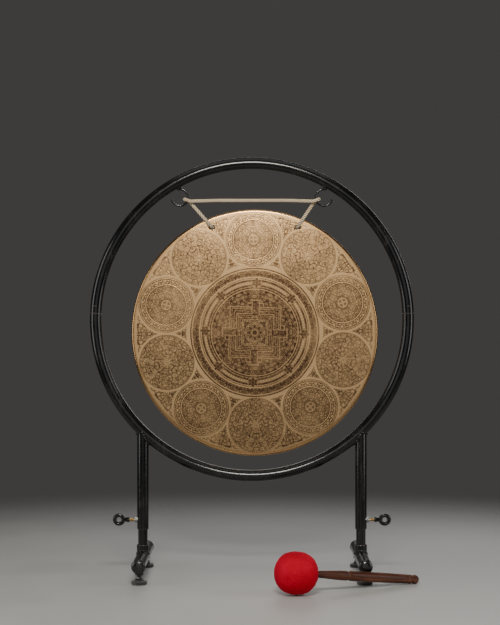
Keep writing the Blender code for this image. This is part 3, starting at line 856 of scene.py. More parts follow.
# %% Turned wood
WOOD, tree, shader, place = new_material("turned_wood", Specular_IOR_Level=0.25)
grain = drawn_out(tree, place, 0.07)
figure = noise_field(tree, grain, 170.0, 5.0, 0.6, 0.9)
pore = noise_field(tree, grain, 1300.0, 2.0, 0.6).step(0.60, 0.72)
BROWNS = [(0.32, (0.018, 0.0055, 0.0030)), (0.50, (0.070, 0.021, 0.010)), (0.68, (0.165, 0.056, 0.027))]
brown = ramp(tree, figure, BROWNS)
brown = mixed(tree, pore * 0.7, brown, (0.012, 0.006, 0.004))
brown = mixed(tree, marked(tree, "groove") * 0.6, brown, (0.17, 0.085, 0.045))
feed(tree, shader, Base_Color=brown, Roughness=figure * 0.15 + 0.34 + pore * 0.25)
bump(tree, shader, figure * 0.25 - pore, 0.00012, 0.8)
print("materials:", COTTON.name, FELT.name, CORK.name, WOOD.name)

# %% [markdown]
# ## The rope
#
# One length of laid rope runs from a knot behind the gong, through a hole, up and round a hook, level across
# to the other hook, and down the same way. Its middle line comes from straight runs with rounded corners.
# Three strands are wound round that line, and each strand is ridged by its yarns.


# %% The rope's middle line
def rope_corners(sign):
    a = radians(WRAP_ANGLE)
    inside = Vector((sign * cos(a), 0, -sin(a)))
    wire = Vector((sign * HOOK_X, HOOP_Y, HOOK_HEIGHT)) - HOOK_RING * inside
    front = Vector((0, -WRAP, 0))
    hole = Vector((GONG_X + sign * HOLE_X, HOOP_Y + WRAP, GONG_HEIGHT + HOLE_RISE))
    turns = [
        wire + front - inside * WRAP,
        wire + front + inside * WRAP,
        wire - front + inside * WRAP,
        wire - front - inside * 0.003,
        hole,
        knot_centre(sign),
    ]
    return turns, [0.010, WRAP * 0.99, WRAP * 0.99, 0.010, 0.0055]


def knot_centre(sign):
    behind = FACE_Y + GONG_WALL + GAP + KNOT * 0.86
    return Vector((GONG_X + sign * HOLE_X, behind, GONG_HEIGHT + HOLE_RISE))


def rounded_route(corners, radii, steps=10):
    points = [corners[0]]
    for before, corner, after, radius in zip(corners, corners[1:], corners[2:], radii):
        back, ahead = (before - corner).normalized(), (after - corner).normalized()
        bend = pi - back.angle(ahead)
        cut = radius * sin(bend / 2) / cos(bend / 2)
        start, end = corner + back * cut, corner + ahead * cut
        for step in range(steps + 1):
            t = step / steps
            points.append(start * (1 - t) ** 2 + corner * 2 * t * (1 - t) + end * t**2)
    return points + [corners[-1]]


def evenly(points, spacing):
    """The same line with points at equal distances."""
    reach = [0.0]
    for a, b in zip(points, points[1:]):
        reach.append(reach[-1] + (b - a).length)
    count = max(2, round(reach[-1] / spacing))
    line, i = [], 0
    for n in range(count + 1):
        target_reach = reach[-1] * n / count
        while i < len(reach) - 2 and reach[i + 1] < target_reach:
            i += 1
        t = (target_reach - reach[i]) / max(reach[i + 1] - reach[i], 1e-9)
        line.append(points[i].lerp(points[i + 1], min(1.0, t)))
    return line


left, left_radii = rope_corners(-1)
right, right_radii = rope_corners(1)
level = [Vector((x, HOOP_Y - WRAP, right[0].z + SPAN_RISE)) for x in (-0.09, 0.09)]
route = rounded_route(left[::-1] + level + right, left_radii[::-1] + [0.03, 0.03] + right_radii)
ROPE_LINE = evenly(route, 0.0013)
rope_length = sum((b - a).length for a, b in zip(ROPE_LINE, ROPE_LINE[1:]))
print("rope from knot to knot:", round(rope_length, 3), "m in", len(ROPE_LINE), "points")


# %% Three strands round a line
def laid_strands(line, radius, pitch, count=20, yarns=5):
    """Three strands wound round a line: points, faces, and how deep in a crease each point lies, which paints
    shade into the creases.
    """
    lay, strand = radius * 0.475, radius * 0.425
    step = (line[1] - line[0]).length
    parts, crease_shades = [], []
    pairs = frames(line)
    for k in range(3):
        path = []
        for i, (p, (side, up)) in enumerate(zip(line, pairs)):
            a = 2 * pi * (k / 3 + i * step / pitch)
            path.append(p + side * (lay * cos(a)) + up * (lay * sin(a)))

        def ridge(i, a):
            return 1 + 0.055 * cos(yarns * a - i * step * 2 * pi / (pitch * 0.42))

        part = swept(path, strand, count, shape=ridge)
        parts.append(part)
        for n, p in enumerate(part[0]):
            i, j = divmod(n, count)
            yarn = 0.5 - (ridge(i, 2 * pi * j / count) - 1) / 0.11
            crease = (0.85 * radius - (p - line[i]).length) / (0.17 * radius)
            crease_shades.append(max(yarn**2 * 0.6, min(1.0, max(0.0, crease))))
    points, faces = merged(parts)
    return points, faces, crease_shades


def knot_line(centre, size, way):
    """A tight overhand knot's line: a trefoil that closes on the rope where it comes in."""
    line = []
    for n in range(64):
        t = 2 * pi * (n + 4) / 70
        x = sin(t) + 2 * sin(2 * t)
        y = cos(t) - 2 * cos(2 * t)
        line.append(centre + Vector((size * x / 3, -way * size * sin(3 * t) * 0.42, size * y / 3)))
    return evenly(line, 0.0011)


pieces_of_rope = [laid_strands(ROPE_LINE, ROPE, ROPE_PITCH)]
for sign in (-1, 1):
    knot = knot_line(knot_centre(sign), KNOT * 0.60, 1)
    pieces_of_rope.append(laid_strands(knot, ROPE * 0.92, ROPE_PITCH))
points, faces = merged([(p, f) for p, f, depth in pieces_of_rope])
crease_shades = [v for p, f, depth in pieces_of_rope for v in depth]
rope = new_piece("laid_rope", points, faces, COTTON, 80)
# Crease depth goes on the mesh, where the cotton uses it to paint shade into the creases.
store = rope.data.attributes.new("crease_shade", "FLOAT", "POINT")
store.data.foreach_set("value", crease_shades)
# grey: how far a point lies below the gong's top edge, which paints the lower runs greyer.
mark(rope, "grey", lambda p: min(1.0, max(0.0, (0.878 - p.z) / 0.03)))
print("rope faces:", len(faces))

# %% [markdown]
# ## What moves with what
#
# The engineering model knows which body each part belongs to. A piece rides on the body of the first part
# that it stands for, so nothing has to be typed twice.

# %% Bodies
BODY = {
    node: body
    for body, empty in frame["bodies"].items()
    for node, obj in frame["nodes"].items()
    if obj.parent is empty
}


def stand_for(piece, slot, *nodes):
    """Hides the CAD parts that the piece stands for, and makes the piece move with the first one's body.
    slot, what it is made of, is not used.
    """
    body = BODY[nodes[0]]
    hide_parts(*nodes)
    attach(piece, body)
    print(f"{piece.name}: {len(piece.data.polygons)} faces, rides on {body}")


def add(name, part, finish, node, sharp=40, bare=None):
    """A piece that is made in place. bare(point) says where its paint is worn off."""
    piece = new_piece(name, *part, finish, sharp)
    if bare:
        mark(piece, "bare", bare)
    slot = finish.name.partition(".")[0]  # without the number that Blender puts on a name taken twice
    stand_for(piece, slot, node)


stand_for(rope, "cotton_rope", "rope")

# %% [markdown]
# ## Floor and soft studio light
#
# A pale floor carries the shadow. A large softbox above and in front makes the gong glow at its top, and two
# tall strips at the sides draw the long highlights that show a round tube to be round.

# %% Floor
FLOOR, tree, shader, place = new_material("pale_floor")
haze = noise_field(tree, place, 5.0, 4.0, 0.55)
speck = noise_field(tree, place, 320.0, 2.0, 0.5)
far = length(*parts_of(tree, place)[:2])
feed(
    tree,
    shader,
    Base_Color=ramp(tree, haze * 0.7 + speck * 0.3, [(0.3, (0.42, 0.42, 0.41)), (0.7, (0.48, 0.48, 0.47))]),
    Roughness=haze * 0.2 + 0.42,
    Alpha=far.step(2.0, 0.8),
)
bump(tree, shader, speck, 0.0002, 0.3)
floor = new_piece("floor", [(-4, -3.2, 0), (4, -3.2, 0), (4, 5, 0), (-4, 5, 0)], [(0, 1, 2, 3)], FLOOR)


# %% Lights
def softbox(name, place, aim, size, watts, colour=(1, 1, 1)):
    data = bpy.data.lights.new(name, "AREA")
    data.shape = "RECTANGLE"
    data.size, data.size_y = size
    data.energy = watts
    data.color = colour
    lamp = bpy.data.objects.new(name, data)
    lamp.location = place
    lamp.rotation_euler = (Vector(aim) - Vector(place)).to_track_quat("-Z", "Y").to_euler()
    bpy.context.scene.collection.objects.link(lamp)


softbox("key_above", (-0.05, -2.1, 1.69), (0, 0.1, 0.86), (0.7, 0.40), 44, (1.0, 0.95, 0.87))
softbox("front_fill", (0, -5.2, 1.1), (0, 0.1, 0.6), (4.0, 2.4), 18)
softbox("back_fill", (0.6, 3.4, 1.6), (0, 0.1, 0.6), (2.4, 1.4), 16)
softbox("strip_left", (-2.2, -0.7, 0.9), (0, 0.1, 0.6), (0.9, 1.7), 16)
softbox("strip_right", (2.2, -0.7, 0.9), (0, 0.1, 0.6), (0.9, 1.7), 16)
softbox("overhead", (0, -0.2, 2.6), (0, -0.19, 0.7), (2.2, 1.8), 9)
world = bpy.data.worlds.new("studio")
world.use_nodes = True
backdrop = world.node_tree.nodes["Background"].inputs
backdrop["Color"].default_value = (0.056, 0.053, 0.051, 1)
backdrop["Strength"].default_value = 1.0
bpy.context.scene.world = world
print("floor and lights ready")

# %% [markdown]
# ## The gong
#
# The gong is one bronze disc, turned like a plate: a face that swells by three millimetres, a rounded
# shoulder, and a rim turned back. Hammering leaves it a little uneven, so the face is moved in and out by a
# slow noise. The rope holes are cut with a Boolean.

# %% Gong outline and body
corner = GONG_RADIUS - GONG_SHOULDER
outline = [(0, GONG_DOME)]
for i in range(1, 61):
    t = i / 60
    outline.append((corner * t, GONG_DOME * (1 - t**2)))
for i in range(1, 11):
    a = radians(9 * i)
    outline.append((corner + GONG_SHOULDER * sin(a), -GONG_SHOULDER * (1 - cos(a))))
face_rings = len(outline) - 3
RIM_TAPER, RIM_EDGE = 0.004, 0.0004
for i in range(1, 9):
    t = i / 8
    drop = (GONG_RIM - GONG_SHOULDER - RIM_EDGE) * t
    outline.append((GONG_RADIUS - RIM_TAPER * t, -GONG_SHOULDER - drop))
for inward, rise in ((0.0045, 0), (0.0055, 0), (0.0060, RIM_EDGE)):
    outline.append((GONG_RADIUS - inward, -GONG_RIM + rise))
bend = GONG_SHOULDER - GONG_WALL
outline.append((GONG_RADIUS - GONG_WALL, -GONG_SHOULDER))
for i in range(1, 7):
    a = radians(90 - 15 * i)
    outline.append((corner + bend * sin(a), -GONG_WALL - bend * (1 - cos(a))))
for i in range(1, 41):
    t = 1 - i / 40
    outline.append((corner * t, GONG_DOME * (1 - t**2) - GONG_WALL))
STEPS, FACE_WAVE, RIM_WAVE = 192, 0.00038, 0.00035
rings = []
for r, z in outline:
    ring = circle(max(r, 0.00002), z, STEPS)
    for p in ring:
        calm = min(1.0, max(0.0, (corner - r) / 0.03)) if z > -GONG_SHOULDER else 0.3
        p.z += calm * FACE_WAVE * noise.noise(Vector((p.x * 17, p.y * 17, 3)))
        if z <= -GONG_SHOULDER:
            push = RIM_WAVE * noise.noise(Vector((p.x * 22, p.y * 22, p.z * 30)))
            p.xy = p.xy * (1 + push / max(r, 0.01))
    rings.append(ring)
points, faces = skin(rings, caps=(True, True))
gong = new_piece("bronze_gong", points, faces, [BRONZE_FACE, BRONZE_BACK], 45)
for polygon in gong.data.polygons:
    polygon.material_index = 0 if polygon.index < face_rings * STEPS else 1
gong.matrix_world = at(GONG_X, FACE_Y, GONG_HEIGHT) @ Matrix.Rotation(pi / 2, 4, "X")

# %% Rope holes
PUNCH = [(0, -0.02), (HOLE, -0.02), (HOLE, 0.02), (0, 0.02)]
for sign in (-1, 1):
    punch = turned("punch", PUNCH, BRONZE_BACK, at(sign * HOLE_X, HOLE_RISE, 0), 32)
    punch.matrix_world = gong.matrix_world.copy()
    cut = gong.modifiers.new("hole", "BOOLEAN")
    cut.operation, cut.solver, cut.object = "DIFFERENCE", "EXACT", punch
    bpy.context.view_layer.update()
    apply_modifiers(gong)
    bpy.data.objects.remove(punch)
stand_for(gong, "bronze", "gong")

# %% [markdown]
# ## The hoop
#
# The stand's ring is two halves of bent tube on hidden spigots. Each tube end has a small chamfer whose paint
# has worn thin, so the seams show as fine lines. The rings of points are set straight on the circle.


# %% Hoop halves
def on_hoop(degrees, y):
    a = radians(degrees)
    return Vector((HOOP_RADIUS * cos(a), HOOP_Y + y, HOOP_HEIGHT + HOOP_RADIUS * sin(a)))


def hoop_ring(degrees, radius, count=32):
    a = radians(degrees)
    out = Vector((cos(a), 0, sin(a)))
    middle = Vector((0, HOOP_Y, HOOP_HEIGHT)) + out * HOOP_RADIUS
    turns = [2 * pi * j / count for j in range(count)]
    return [middle + out * (radius * cos(t)) + Vector((0, radius * sin(t), 0)) for t in turns]


def hoop_half(name, node, start, end):
    lip = 0.10
    ends = [(1.5, 0.0124), (0.0, 0.0124), (0.0, TUBE - 0.0006), (lip * 0.5, TUBE - 0.0002)]
    ends += [(lip, TUBE), (lip * 1.4, TUBE)]
    rings = [hoop_ring(start + d, r) for d, r in ends]
    steps = round((end - start) / 0.9)
    for i in range(1, steps):
        rings.append(hoop_ring(start + lip + (end - start - 2 * lip) * i / steps, TUBE))
    rings += [hoop_ring(end - d, r) for d, r in ends[::-1]]

    def near_end(p):
        turned_by = (atan2(p.z - HOOP_HEIGHT, p.x) - radians(start)) % (2 * pi)
        rest = min(turned_by, abs(radians(end - start) - turned_by))
        return 1.0 if rest < radians(lip * 1.2) else 0.0

    add(name, skin(rings), BLACK, node, 30, near_end)


SEAM_GAP = 0.03
hoop_half("hoop_top", "upper_hoop", SEAM_ANGLE + SEAM_GAP, 180 - SEAM_ANGLE - SEAM_GAP)
hoop_half("hoop_bottom", "lower_hoop", -180 - SEAM_ANGLE + SEAM_GAP, SEAM_ANGLE - SEAM_GAP)

# %% Spigots and lock screws
SCREW_HEAD = [(0.0016, 0.0022), (0.0024, 0.0018), (0.0031, 0.0011), (0.0036, 0.0003), (0.0036, 0)]
SCREW_HEAD += [(0.0015, 0), (0.0015, -0.006)]
for (side, way), seam in zip(SIDES, (180 - SEAM_ANGLE, SEAM_ANGLE)):
    rings = [hoop_ring(seam - 5 + i / 2, SPIGOT - (0.001 if i in (0, 20) else 0), 24) for i in range(21)]
    add(f"{side}_spigot", skin(rings, caps=(True, True)), STEEL, f"{side}_hoop_spigot")
    lock = on_hoop(seam + way * LOCK_ANGLE, -TUBE - GAP)
    socket = [circle(0, z, 24, None, hexagon(0.0024)) for z in (0.0009, 0.0020)]
    head = skin(socket + circles(SCREW_HEAD, 24), caps=(True, True))
    screw = new_piece(f"{side}_button_screw", *head, BLACK)
    screw.matrix_world = Matrix.Translation(lock) @ Matrix.Rotation(pi / 2, 4, "X")
    mark(screw, "bare", lambda p: 0.8 if p.z > 0.0019 else 0.0)
    stand_for(screw, "black_paint", f"{side}_lock_screw")

# %% [markdown]
# ## Weld beads
#
# A weld is a row of small overlapping puddles. A thin bar swept round the joint, its radius rippling from
# puddle to puddle, gives that shape. The joint's own curve is worked out: it is where a vertical tube's wall
# meets the round hoop, so it needs no Boolean.


# %% Weld helpers
def bead(line, radius, puddle=0.0016, seed=1):
    """Points and faces of a weld bead along a closed line."""
    step = 0.0005
    line = evenly(line + [line[0]], step)
    radii = []
    for i, p in enumerate(line):
        wave = abs(sin(pi * i * step / puddle))
        rough = noise.noise(p * 260 + Vector((seed, 0, 0)))
        radii.append(radius * (0.80 + 0.25 * wave + 0.28 * rough))
    return swept(line, radii, 10, caps=(False, False))


def under_hoop(x, y, outside):
    """Height of the hoop's surface at x, y: its outer side below, or its inner side above."""
    s = sqrt(max(0.0, TUBE**2 - (y - HOOP_Y) ** 2))
    reach = HOOP_RADIUS + s if outside else HOOP_RADIUS - s
    height = sqrt(reach**2 - x**2)
    return HOOP_HEIGHT - height if outside else HOOP_HEIGHT + height


def widened(ring, axis, share, rise):
    """A ring that stands a little further out from an upright axis."""
    middle = axis.translation
    return [p + Vector(((p.x - middle.x) * share, (p.y - middle.y) * share, rise)) for p in ring]


print("weld helpers ready")

# %% [markdown]
# ## Hooks
#
# Each hook is a C of thin wire that opens inward at its top, on a short boss welded under the hoop. The rope
# takes a turn round its inner side.

# %% Hooks
for side, sign in SIDES:
    middle = Vector((sign * HOOK_X, HOOP_Y, HOOK_HEIGHT))
    path = []
    for i in range(73):
        a = radians(110 - 277 * i / 72)
        path.append(middle + HOOK_RING * Vector((-sign * cos(a), 0, sin(a))))
    radii = [HOOK_DRAWN * min(1.0, 0.55 + 0.45 * min(i, 72 - i) / 2) for i in range(73)]
    wire = swept(path, radii, 16)
    low = HOOK_HEIGHT + HOOK_RING - HOOK_WIRE
    axis = at(middle.x, HOOP_Y, 0)
    boss = circles([(0.0001, low), (HOOK_BOSS - 0.0008, low), (HOOK_BOSS, low + 0.0008)], 32, axis)
    top = circle(HOOK_BOSS, 0, 32, axis)
    for p in top:
        p.z = under_hoop(abs(p.x), p.y, False) + 0.0004
    boss.append(top)
    weld = bead([p - Vector((0, 0, 0.0006)) for p in top], 0.0013, seed=3)
    hook = merged([wire, skin(boss, caps=(True, False)), weld])
    add(f"{side}_rope_hook", hook, BLACK, f"{side}_hook", 50)

# %% [markdown]
# ## Legs
#
# Each leg is the same tube as the hoop, cut to fit round it and welded. The lower end is plain and open: its
# chamfer has lost its paint to the post that slides in it, and shows as a thin ring of dull steel.

# %% Leg tubes
LEG_MOUTH = [(0.0120, LEG_FOOT + 0.02), (0.0120, LEG_FOOT), (TUBE - 0.0007, LEG_FOOT)]
LEG_MOUTH += [(TUBE - 0.0002, LEG_FOOT + 0.0003), (TUBE, LEG_FOOT + 0.0008)]
LEG_START = LEG_FOOT + 0.0011
for side, sign in SIDES:
    axis = at(sign * LEG_X, HOOP_Y, 0)
    rings = circles(LEG_MOUTH, 64, axis)
    top = circle(TUBE, 0, 64, axis)
    for p in top:
        p.z = under_hoop(abs(p.x), p.y, True)
    for i in range(21):
        t = i / 20
        rings.append([Vector((p.x, p.y, LEG_START + (p.z - LEG_START) * t)) for p in top])
    weld = bead(widened(top, axis, 0.05, -0.0002), 0.0026, 0.0026, seed=7 + sign)
    leg = merged([skin(rings), weld])
    add(f"{side}_leg", leg, BLACK, f"{side}_leg_tube", 40, lambda p: float(p.z < LEG_FOOT + 0.00095))

# %% [markdown]
# ## Nuts and threads
#
# A hexagonal nut is a hexagon whose corners are cut by a cone. Each ring follows the hexagon, and its corners
# sink by how far they stand out. A thread is a cylinder whose radius follows a triangle wave that climbs by
# one pitch for each turn.


# %% Nut and thread helpers
def nut(flats, thick, bore, count=72):
    """Rings of a chamfered hexagonal nut from z = 0 to z = thick, with its bore."""
    six = hexagon(flats)
    rim = flats / 2 * 0.95
    ends = []
    for face, way in ((0, 1), (thick, -1)):
        ring = []
        for j in range(count):
            a = 2 * pi * j / count
            r = six(a) - 0.00015
            ring.append(Vector((r * cos(a), r * sin(a), face + way * (r - rim) * 0.55)))
        ends.append((circle(bore + 0.0005, face, count), circle(rim, face, count), ring))
    (bore_low, rim_low, low), (bore_high, rim_high, high) = ends
    middle = circle(0, thick / 2, count, None, six)
    inside = [circle(bore, z, count) for z in (thick - 0.0005, 0.0005)]
    return skin([inside[1], bore_low, rim_low, low, middle, high, rim_high, bore_high, inside[0]])


def thread(radius, length, pitch, count=30):
    """Rings of a threaded rod with a chamfer at each end."""
    rings, steps = [], round(length / pitch * 6)
    depth = pitch * 0.5
    for i in range(steps + 1):
        z = length * i / steps
        taper = min(1.0, z / (pitch * 0.8), (length - z) / (pitch * 0.8))

        def shape(a, z=z, taper=taper):
            phase = (z / pitch - a / (2 * pi)) % 1.0
            crest = min(1.0, max(0.0, 1.35 - 3.1 * abs(phase - 0.5) + 0.2))
            return radius - depth + depth * crest * max(0.15, taper)

        rings.append(circle(0, z, count, None, shape))
    return skin(rings, caps=(True, True))


print("nut and thread helpers ready")

# %% [markdown]
# ## Clamp bolts
#
# A nut is welded to the outer side of each leg. The bolt's end presses on the post inside, and its eye is
# turned by hand. The eye is a black ring on a tapered neck, and a few turns of yellow thread show between.

# %% Clamp nuts, threads and eyes
NUT_WELD = 0.0066
NECK = [(0.0001, 0.0328), (0.0054, 0.0328), (0.0062, 0.0336), (0.0062, 0.0352), (0.0056, 0.0385)]
NECK += [(0.0048, 0.0430), (0.0040, 0.0473), (0.0030, 0.0490), (0.0001, 0.0495)]
for side, sign in SIDES:
    out = at(sign * LEG_X, HOOP_Y, BOLT_HEIGHT) @ along((sign, 0, 0))
    spot = []
    for i in range(40):
        a = 2 * pi * i / 40
        y, z = NUT_WELD * cos(a), NUT_WELD * sin(a)
        spot.append(Vector((sign * (LEG_X + sqrt(TUBE**2 - y**2) + 0.0001), HOOP_Y + y, BOLT_HEIGHT + z)))
    body = placed(nut(0.013, 0.0068, BOLT + 0.0002), out @ at(0, 0, 0.0143))
    clamp = merged([body, bead(spot, 0.0009, 0.0013)])
    add(f"{side}_welded_nut", clamp, ZINC, f"{side}_clamp_nut", 35)
    shank = placed(thread(BOLT, 0.0207, 0.00125), out @ at(0, 0, 0.0118))
    add(f"{side}_clamp_thread", shank, YELLOW, f"{side}_bolt_thread", 60)
    neck = skin(circles(NECK, 32, out), caps=(True, True))
    heart = Vector((sign * (LEG_X + EYE_X), HOOP_Y, BOLT_HEIGHT))
    turns = [2 * pi * i / 64 for i in range(65)]
    path = [heart + EYE_RING * Vector((cos(a), 0, sin(a))) for a in turns]
    ring = swept(path, EYE_WIRE, 24, (False, False), lambda i, a: 1 + 0.012 * sin(5 * a + i * 0.2))
    add(f"{side}_clamp_eye", merged([neck, ring]), BLACK, f"{side}_bolt_eye", 50)

# %% [markdown]
# ## Posts and foot bars
#
# A post stands in each foot bar, in a round boss, and slides up into its leg. The bar is a tube from front to
# back, plugged with domed caps.

# %% Posts, bosses, bars and caps
POST_INSIDE, BAR_INSIDE = 0.0095, 0.014
POST_OUTLINE = [(POST_INSIDE, 0.265), (POST_INSIDE, POST_TOP), (POST - 0.0006, POST_TOP)]
POST_OUTLINE += [(POST, POST_TOP - 0.0008), (POST, LEG_FOOT), (POST, POST_BOTTOM)]
POST_OUTLINE += [(POST_INSIDE, POST_BOTTOM), (POST_INSIDE, 0.06)]
COLLAR = [(BOSS, BOSS_TOP - 0.0017), (BOSS, BOSS_TOP - 0.0014), (BOSS - 0.0003, BOSS_TOP - 0.0006)]
COLLAR += [(BOSS - 0.0010, BOSS_TOP), (POST + 0.0007, BOSS_TOP), (POST + GAP, BOSS_TOP - 0.0006)]
COLLAR += [(POST + GAP, 0.062)]
BAR_END = [(BAR_INSIDE, BAR_HALF - 0.012), (BAR_INSIDE, BAR_HALF), (BAR - 0.0006, BAR_HALF)]
BAR_END += [(BAR - 0.0001, BAR_HALF - 0.0005), (BAR, BAR_HALF - 0.001), (BAR, BAR_HALF - 0.0013)]
BAR_OUTLINE = [(r, -z) for r, z in BAR_END]
BAR_OUTLINE += [(BAR, -BAR_HALF + 2 * (BAR_HALF - 0.001) * i / 24) for i in range(1, 24)] + BAR_END[::-1]
CAP = [(0.0001, 0.0077), (0.003, 0.00762), (0.0062, 0.0073), (0.0092, 0.0066), (0.0118, 0.0056)]
CAP += [(0.0140, 0.0042), (0.0156, 0.0029), (0.0164, 0.0018), (0.0167, 0.0010), (0.0165, 0.0003)]
CAP += [(0.0160, 0), (0.0134, 0), (0.0134, -0.0115), (0.0128, -0.012), (0.0001, -0.012)]


def post_top(p):
    return 0.5 if p.z > POST_TOP - 0.001 else 0.0


def boss_top(p):
    return 0.9 if p.z > BOSS_TOP - 0.0012 else 0.0


def bar_ends(p):
    return 0.6 if abs(p.y - HOOP_Y) > BAR_HALF - 0.0007 else 0.0


for side, sign in SIDES:
    axis = at(sign * LEG_X, HOOP_Y, 0)
    add(f"{side}_inner_post", skin(circles(POST_OUTLINE, 48, axis)), BLACK, f"{side}_post", 40, post_top)
    saddle = circle(BOSS, 0, 64, axis)
    for p in saddle:
        p.z = BAR_HEIGHT + sqrt(max(0.0, BAR**2 - (p.x - sign * LEG_X) ** 2)) - 0.0004
    collar = skin([saddle] + circles(COLLAR, 64, axis))
    weld = bead(widened(saddle, axis, 0.04, 0.0003), 0.0018, 0.0021, seed=11 + sign)
    add(f"{side}_boss", merged([collar, weld]), BLACK, f"{side}_foot_boss", 30, boss_top)
    lay = at(sign * LEG_X, HOOP_Y, BAR_HEIGHT) @ along((0, -1, 0))
    add(f"{side}_bar", skin(circles(BAR_OUTLINE, 48, lay)), BLACK, f"{side}_foot_bar", 30, bar_ends)
    for end, way in ENDS:
        place = at(sign * LEG_X, HOOP_Y + way * (BAR_HALF + GAP), BAR_HEIGHT) @ along((0, way, 0))
        cap = turned(f"{side}_{end}_plug", CAP, PLASTIC, place, 56, 30)
        stand_for(cap, "black_plastic", f"{side}_{end}_cap")

# %% [markdown]
# ## Levelling feet
#
# Four small feet screw in and out to make up for an uneven floor. Each has a nut under the bar, a stud, and a
# rubber pad with a rounded edge.

# %% Level nuts, studs and pads
PAD_OUTLINE = [(0.0001, 0.012), (0.0086, 0.012), (0.0094, 0.0118), (0.0098, 0.0112), (0.0101, 0.0092)]
PAD_OUTLINE += [(0.0108, 0.0085), (0.0168, 0.0079), (0.0180, 0.0076), (PAD, 0.0068), (PAD, 0.0040)]
PAD_OUTLINE += [(0.0181, 0.0036), (0.0181, 0.0031), (PAD, 0.0027), (PAD, 0.0014), (0.0182, 0.0006)]
PAD_OUTLINE += [(0.0173, 0), (0.0120, 0), (0.0115, 0.0005), (0.0001, 0.0005)]
for side, sign in SIDES:
    for end, way in ENDS:
        name = f"{side}_{end}"
        x, y = sign * LEG_X, HOOP_Y + way * LEVEL_Y
        level_nut = placed(nut(0.017, 0.008, STUD + 0.0002), at(x, y, 0.0217))
        add(f"{name}_foot_nut", level_nut, BLACK, f"{name}_level_nut", 35)
        stud = placed(thread(STUD, 0.030, 0.0015), at(x, y, 0.0123))
        turned_nut = at(x, y, 0.0126) @ Matrix.Rotation(0.4, 4, "Z")
        jam_nut = placed(nut(0.0145, 0.0052, STUD + 0.0001), turned_nut)
        add(f"{name}_foot_stud", merged([stud, jam_nut]), STEEL, f"{name}_level_stud", 60)
        pad = turned(f"{name}_pad", PAD_OUTLINE, RUBBER, at(x, y, 0), 56, 30)
        stand_for(pad, "black_rubber", f"{name}_level_pad")

# %% [markdown]
# ## The beater
#
# The beater lies on the floor, its felt head and the round butt of its handle touching it. Its parts are made
# upright, with the handle along local Z, and laid down by one matrix.

# %% Beater place and handle
drop = asin((HEAD - BUTT) / REACH)
heading = radians(HEADING)
way = Vector((cos(drop) * cos(heading), cos(drop) * sin(heading), -sin(drop)))
BEATER_PLACE = at(0.100, HOOP_Y - 0.274, HEAD) @ along(way)
NECK_GROOVE, BUTT_GROOVE = 0.1375, REACH - 0.0190
TIP = [(0.0062, 0.88 * BUTT), (0.0084, 0.0080), (0.0095, 0.0076), (0.0106, 0.0088), (0.0122, 0.0106)]
TIP += [(0.0145, 0.01075), (0.0170, 0.0106), (0.0184, 0.0099), (0.0190, 0.0095), (0.0197, 0.0099)]
TIP += [(0.0215, 0.0108)]
outline = [(0.0001, REACH + BUTT)]
outline += [(BUTT * sin(radians(a)), REACH + BUTT * cos(radians(a))) for a in range(12, 97, 12)]
outline += [(radius, REACH - back) for back, radius in TIP]
outline += [(0.0113, 0.270), (0.0116, 0.235), (0.0117, 0.200), (0.0116, 0.165), (0.0114, 0.1440)]
outline += [(0.0108, 0.1415), (0.0099, 0.1390), (0.0096, NECK_GROOVE), (0.0099, 0.1358), (0.0108, 0.1345)]
outline += [(0.0113, 0.1320), (0.0113, 0.1285), (0.0110, 0.115), (0.0103, 0.100), (0.0094, 0.085)]
outline += [(0.0086, 0.068), (0.0080, 0.052), (0.0077, 0.040), (0.0076, 0.0325), (0.0072, 0.032)]
outline += [(0.0062, 0.032), (0.0062, -0.0190), (0.0057, -0.0195), (0.0001, -0.0195)]
handle = turned("turned_handle", outline, WOOD, None, 48, 50)


def in_groove(p):
    near = min(abs(p.z - NECK_GROOVE), abs(p.z - BUTT_GROOVE))
    return max(0.0, 1 - near / 0.0014)


mark(handle, "groove", in_groove)
handle.matrix_world = BEATER_PLACE
stand_for(handle, "turned_wood", "beater_handle")

# %% [markdown]
# ## Felt head
#
# The head is a thick felt sock drawn over a cork ball and gathered at the handle. A cloth simulation inflates
# a slightly smaller ball that is held at its mouth, which gives felt its full, uneven form. Gathers and lumps
# come after it, as small moves of the points.


# %% Felt head
BARREL = 2.38  # 2 would be a round ball, and more makes its sides and ends flatter
LARGEST_MOVE = 0.003
FELT_CLOTH = {
    "quality": 5,
    "mass": 0.3,
    "tension_stiffness": 30,
    "compression_stiffness": 30,
    "bending_stiffness": 6,
    "use_pressure": True,
    "uniform_pressure_force": 3.0,
    "vertex_group_mass": "mouth",
}


def felt_outline(radius, mouth, count):
    top = acos(mouth / radius)
    points = [(mouth, radius * sin(top) - 0.005), (mouth + 0.0002, radius * sin(top) - 0.001)]
    for i in range(count):
        a = top - (top + pi / 2) * i / count
        swell = (abs(cos(a)) ** BARREL + abs(sin(a)) ** BARREL) ** (-1 / BARREL)
        points.append((radius * swell * cos(a), radius * swell * sin(a)))
    return points + [(0.0001, -radius)]


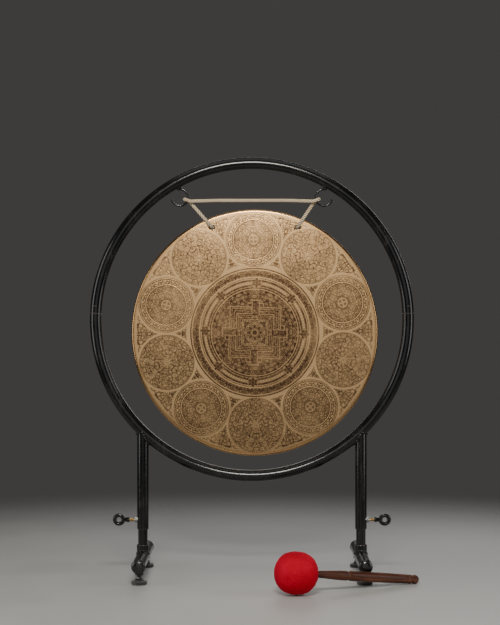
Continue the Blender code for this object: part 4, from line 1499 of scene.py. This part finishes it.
shape = felt_outline(HEAD * 0.965, HEAD_MOUTH + 0.0004, 40)
head = new_piece("felt_head", *skin(circles(shape, 72), caps=(False, True)), FELT, 180)
held = head.vertex_groups.new(name="mouth")
for v in head.data.vertices:
    grip = min(1.0, max(0.0, (0.020 - v.co.xy.length) / 0.008)) if v.co.z > 0 else 0.0
    held.add([v.index], grip, "REPLACE")
cloth = head.modifiers.new("cloth", "CLOTH")
for label, value in FELT_CLOTH.items():
    setattr(cloth.settings, label, value)
cloth.settings.effector_weights.gravity = 0
cloth.point_cache.frame_start, cloth.point_cache.frame_end = 1, 16
for frame_number in range(1, 17):
    bpy.context.scene.frame_set(frame_number)
rest = [v.co.copy() for v in head.data.vertices]
apply_modifiers(head)
for v, old in zip(head.data.vertices, rest):
    move = v.co - old
    if move.length > LARGEST_MOVE:
        v.co = old + move.normalized() * LARGEST_MOVE
bpy.context.scene.frame_set(1)
smooth = head.modifiers.new("finer", "SUBSURF")
smooth.levels = smooth.render_levels = 1
bpy.context.view_layer.update()
apply_modifiers(head)
GATHERS, GATHER_DEPTH, GATHER_START = 13, 0.0011, 0.62
LUMPS = ((0.00075, 38), (0.00035, 130), (0.00016, 420))
widest = 0.0
for v in head.data.vertices:
    out = v.co.normalized()
    near_mouth = max(0.0, out.z - GATHER_START) / (1 - GATHER_START)
    fold = GATHERS * atan2(v.co.y, v.co.x) + 2 * noise.noise(v.co * 40)
    lumps = sum(size * noise.noise(v.co * scale) for size, scale in LUMPS)
    v.co += out * (near_mouth * GATHER_DEPTH * cos(fold) + lumps)
    limit = (HEAD - 0.0002) * (out.xy.length ** BARREL + abs(out.z) ** BARREL) ** (-1 / BARREL)
    v.co *= min(1.0, limit / v.co.length)
    sunk = 0.0003 - (BEATER_PLACE @ v.co).z
    if sunk > 0:
        v.co += BEATER_PLACE.to_3x3().inverted() @ Vector((0, 0, sunk))
    widest = max(widest, v.co.xy.length)
head.data.polygons.foreach_set("use_smooth", [True] * len(head.data.polygons))
head.matrix_world = BEATER_PLACE
stand_for(head, "red_felt", "beater_cover")
print("felt head radius", round(widest, 4), "m")
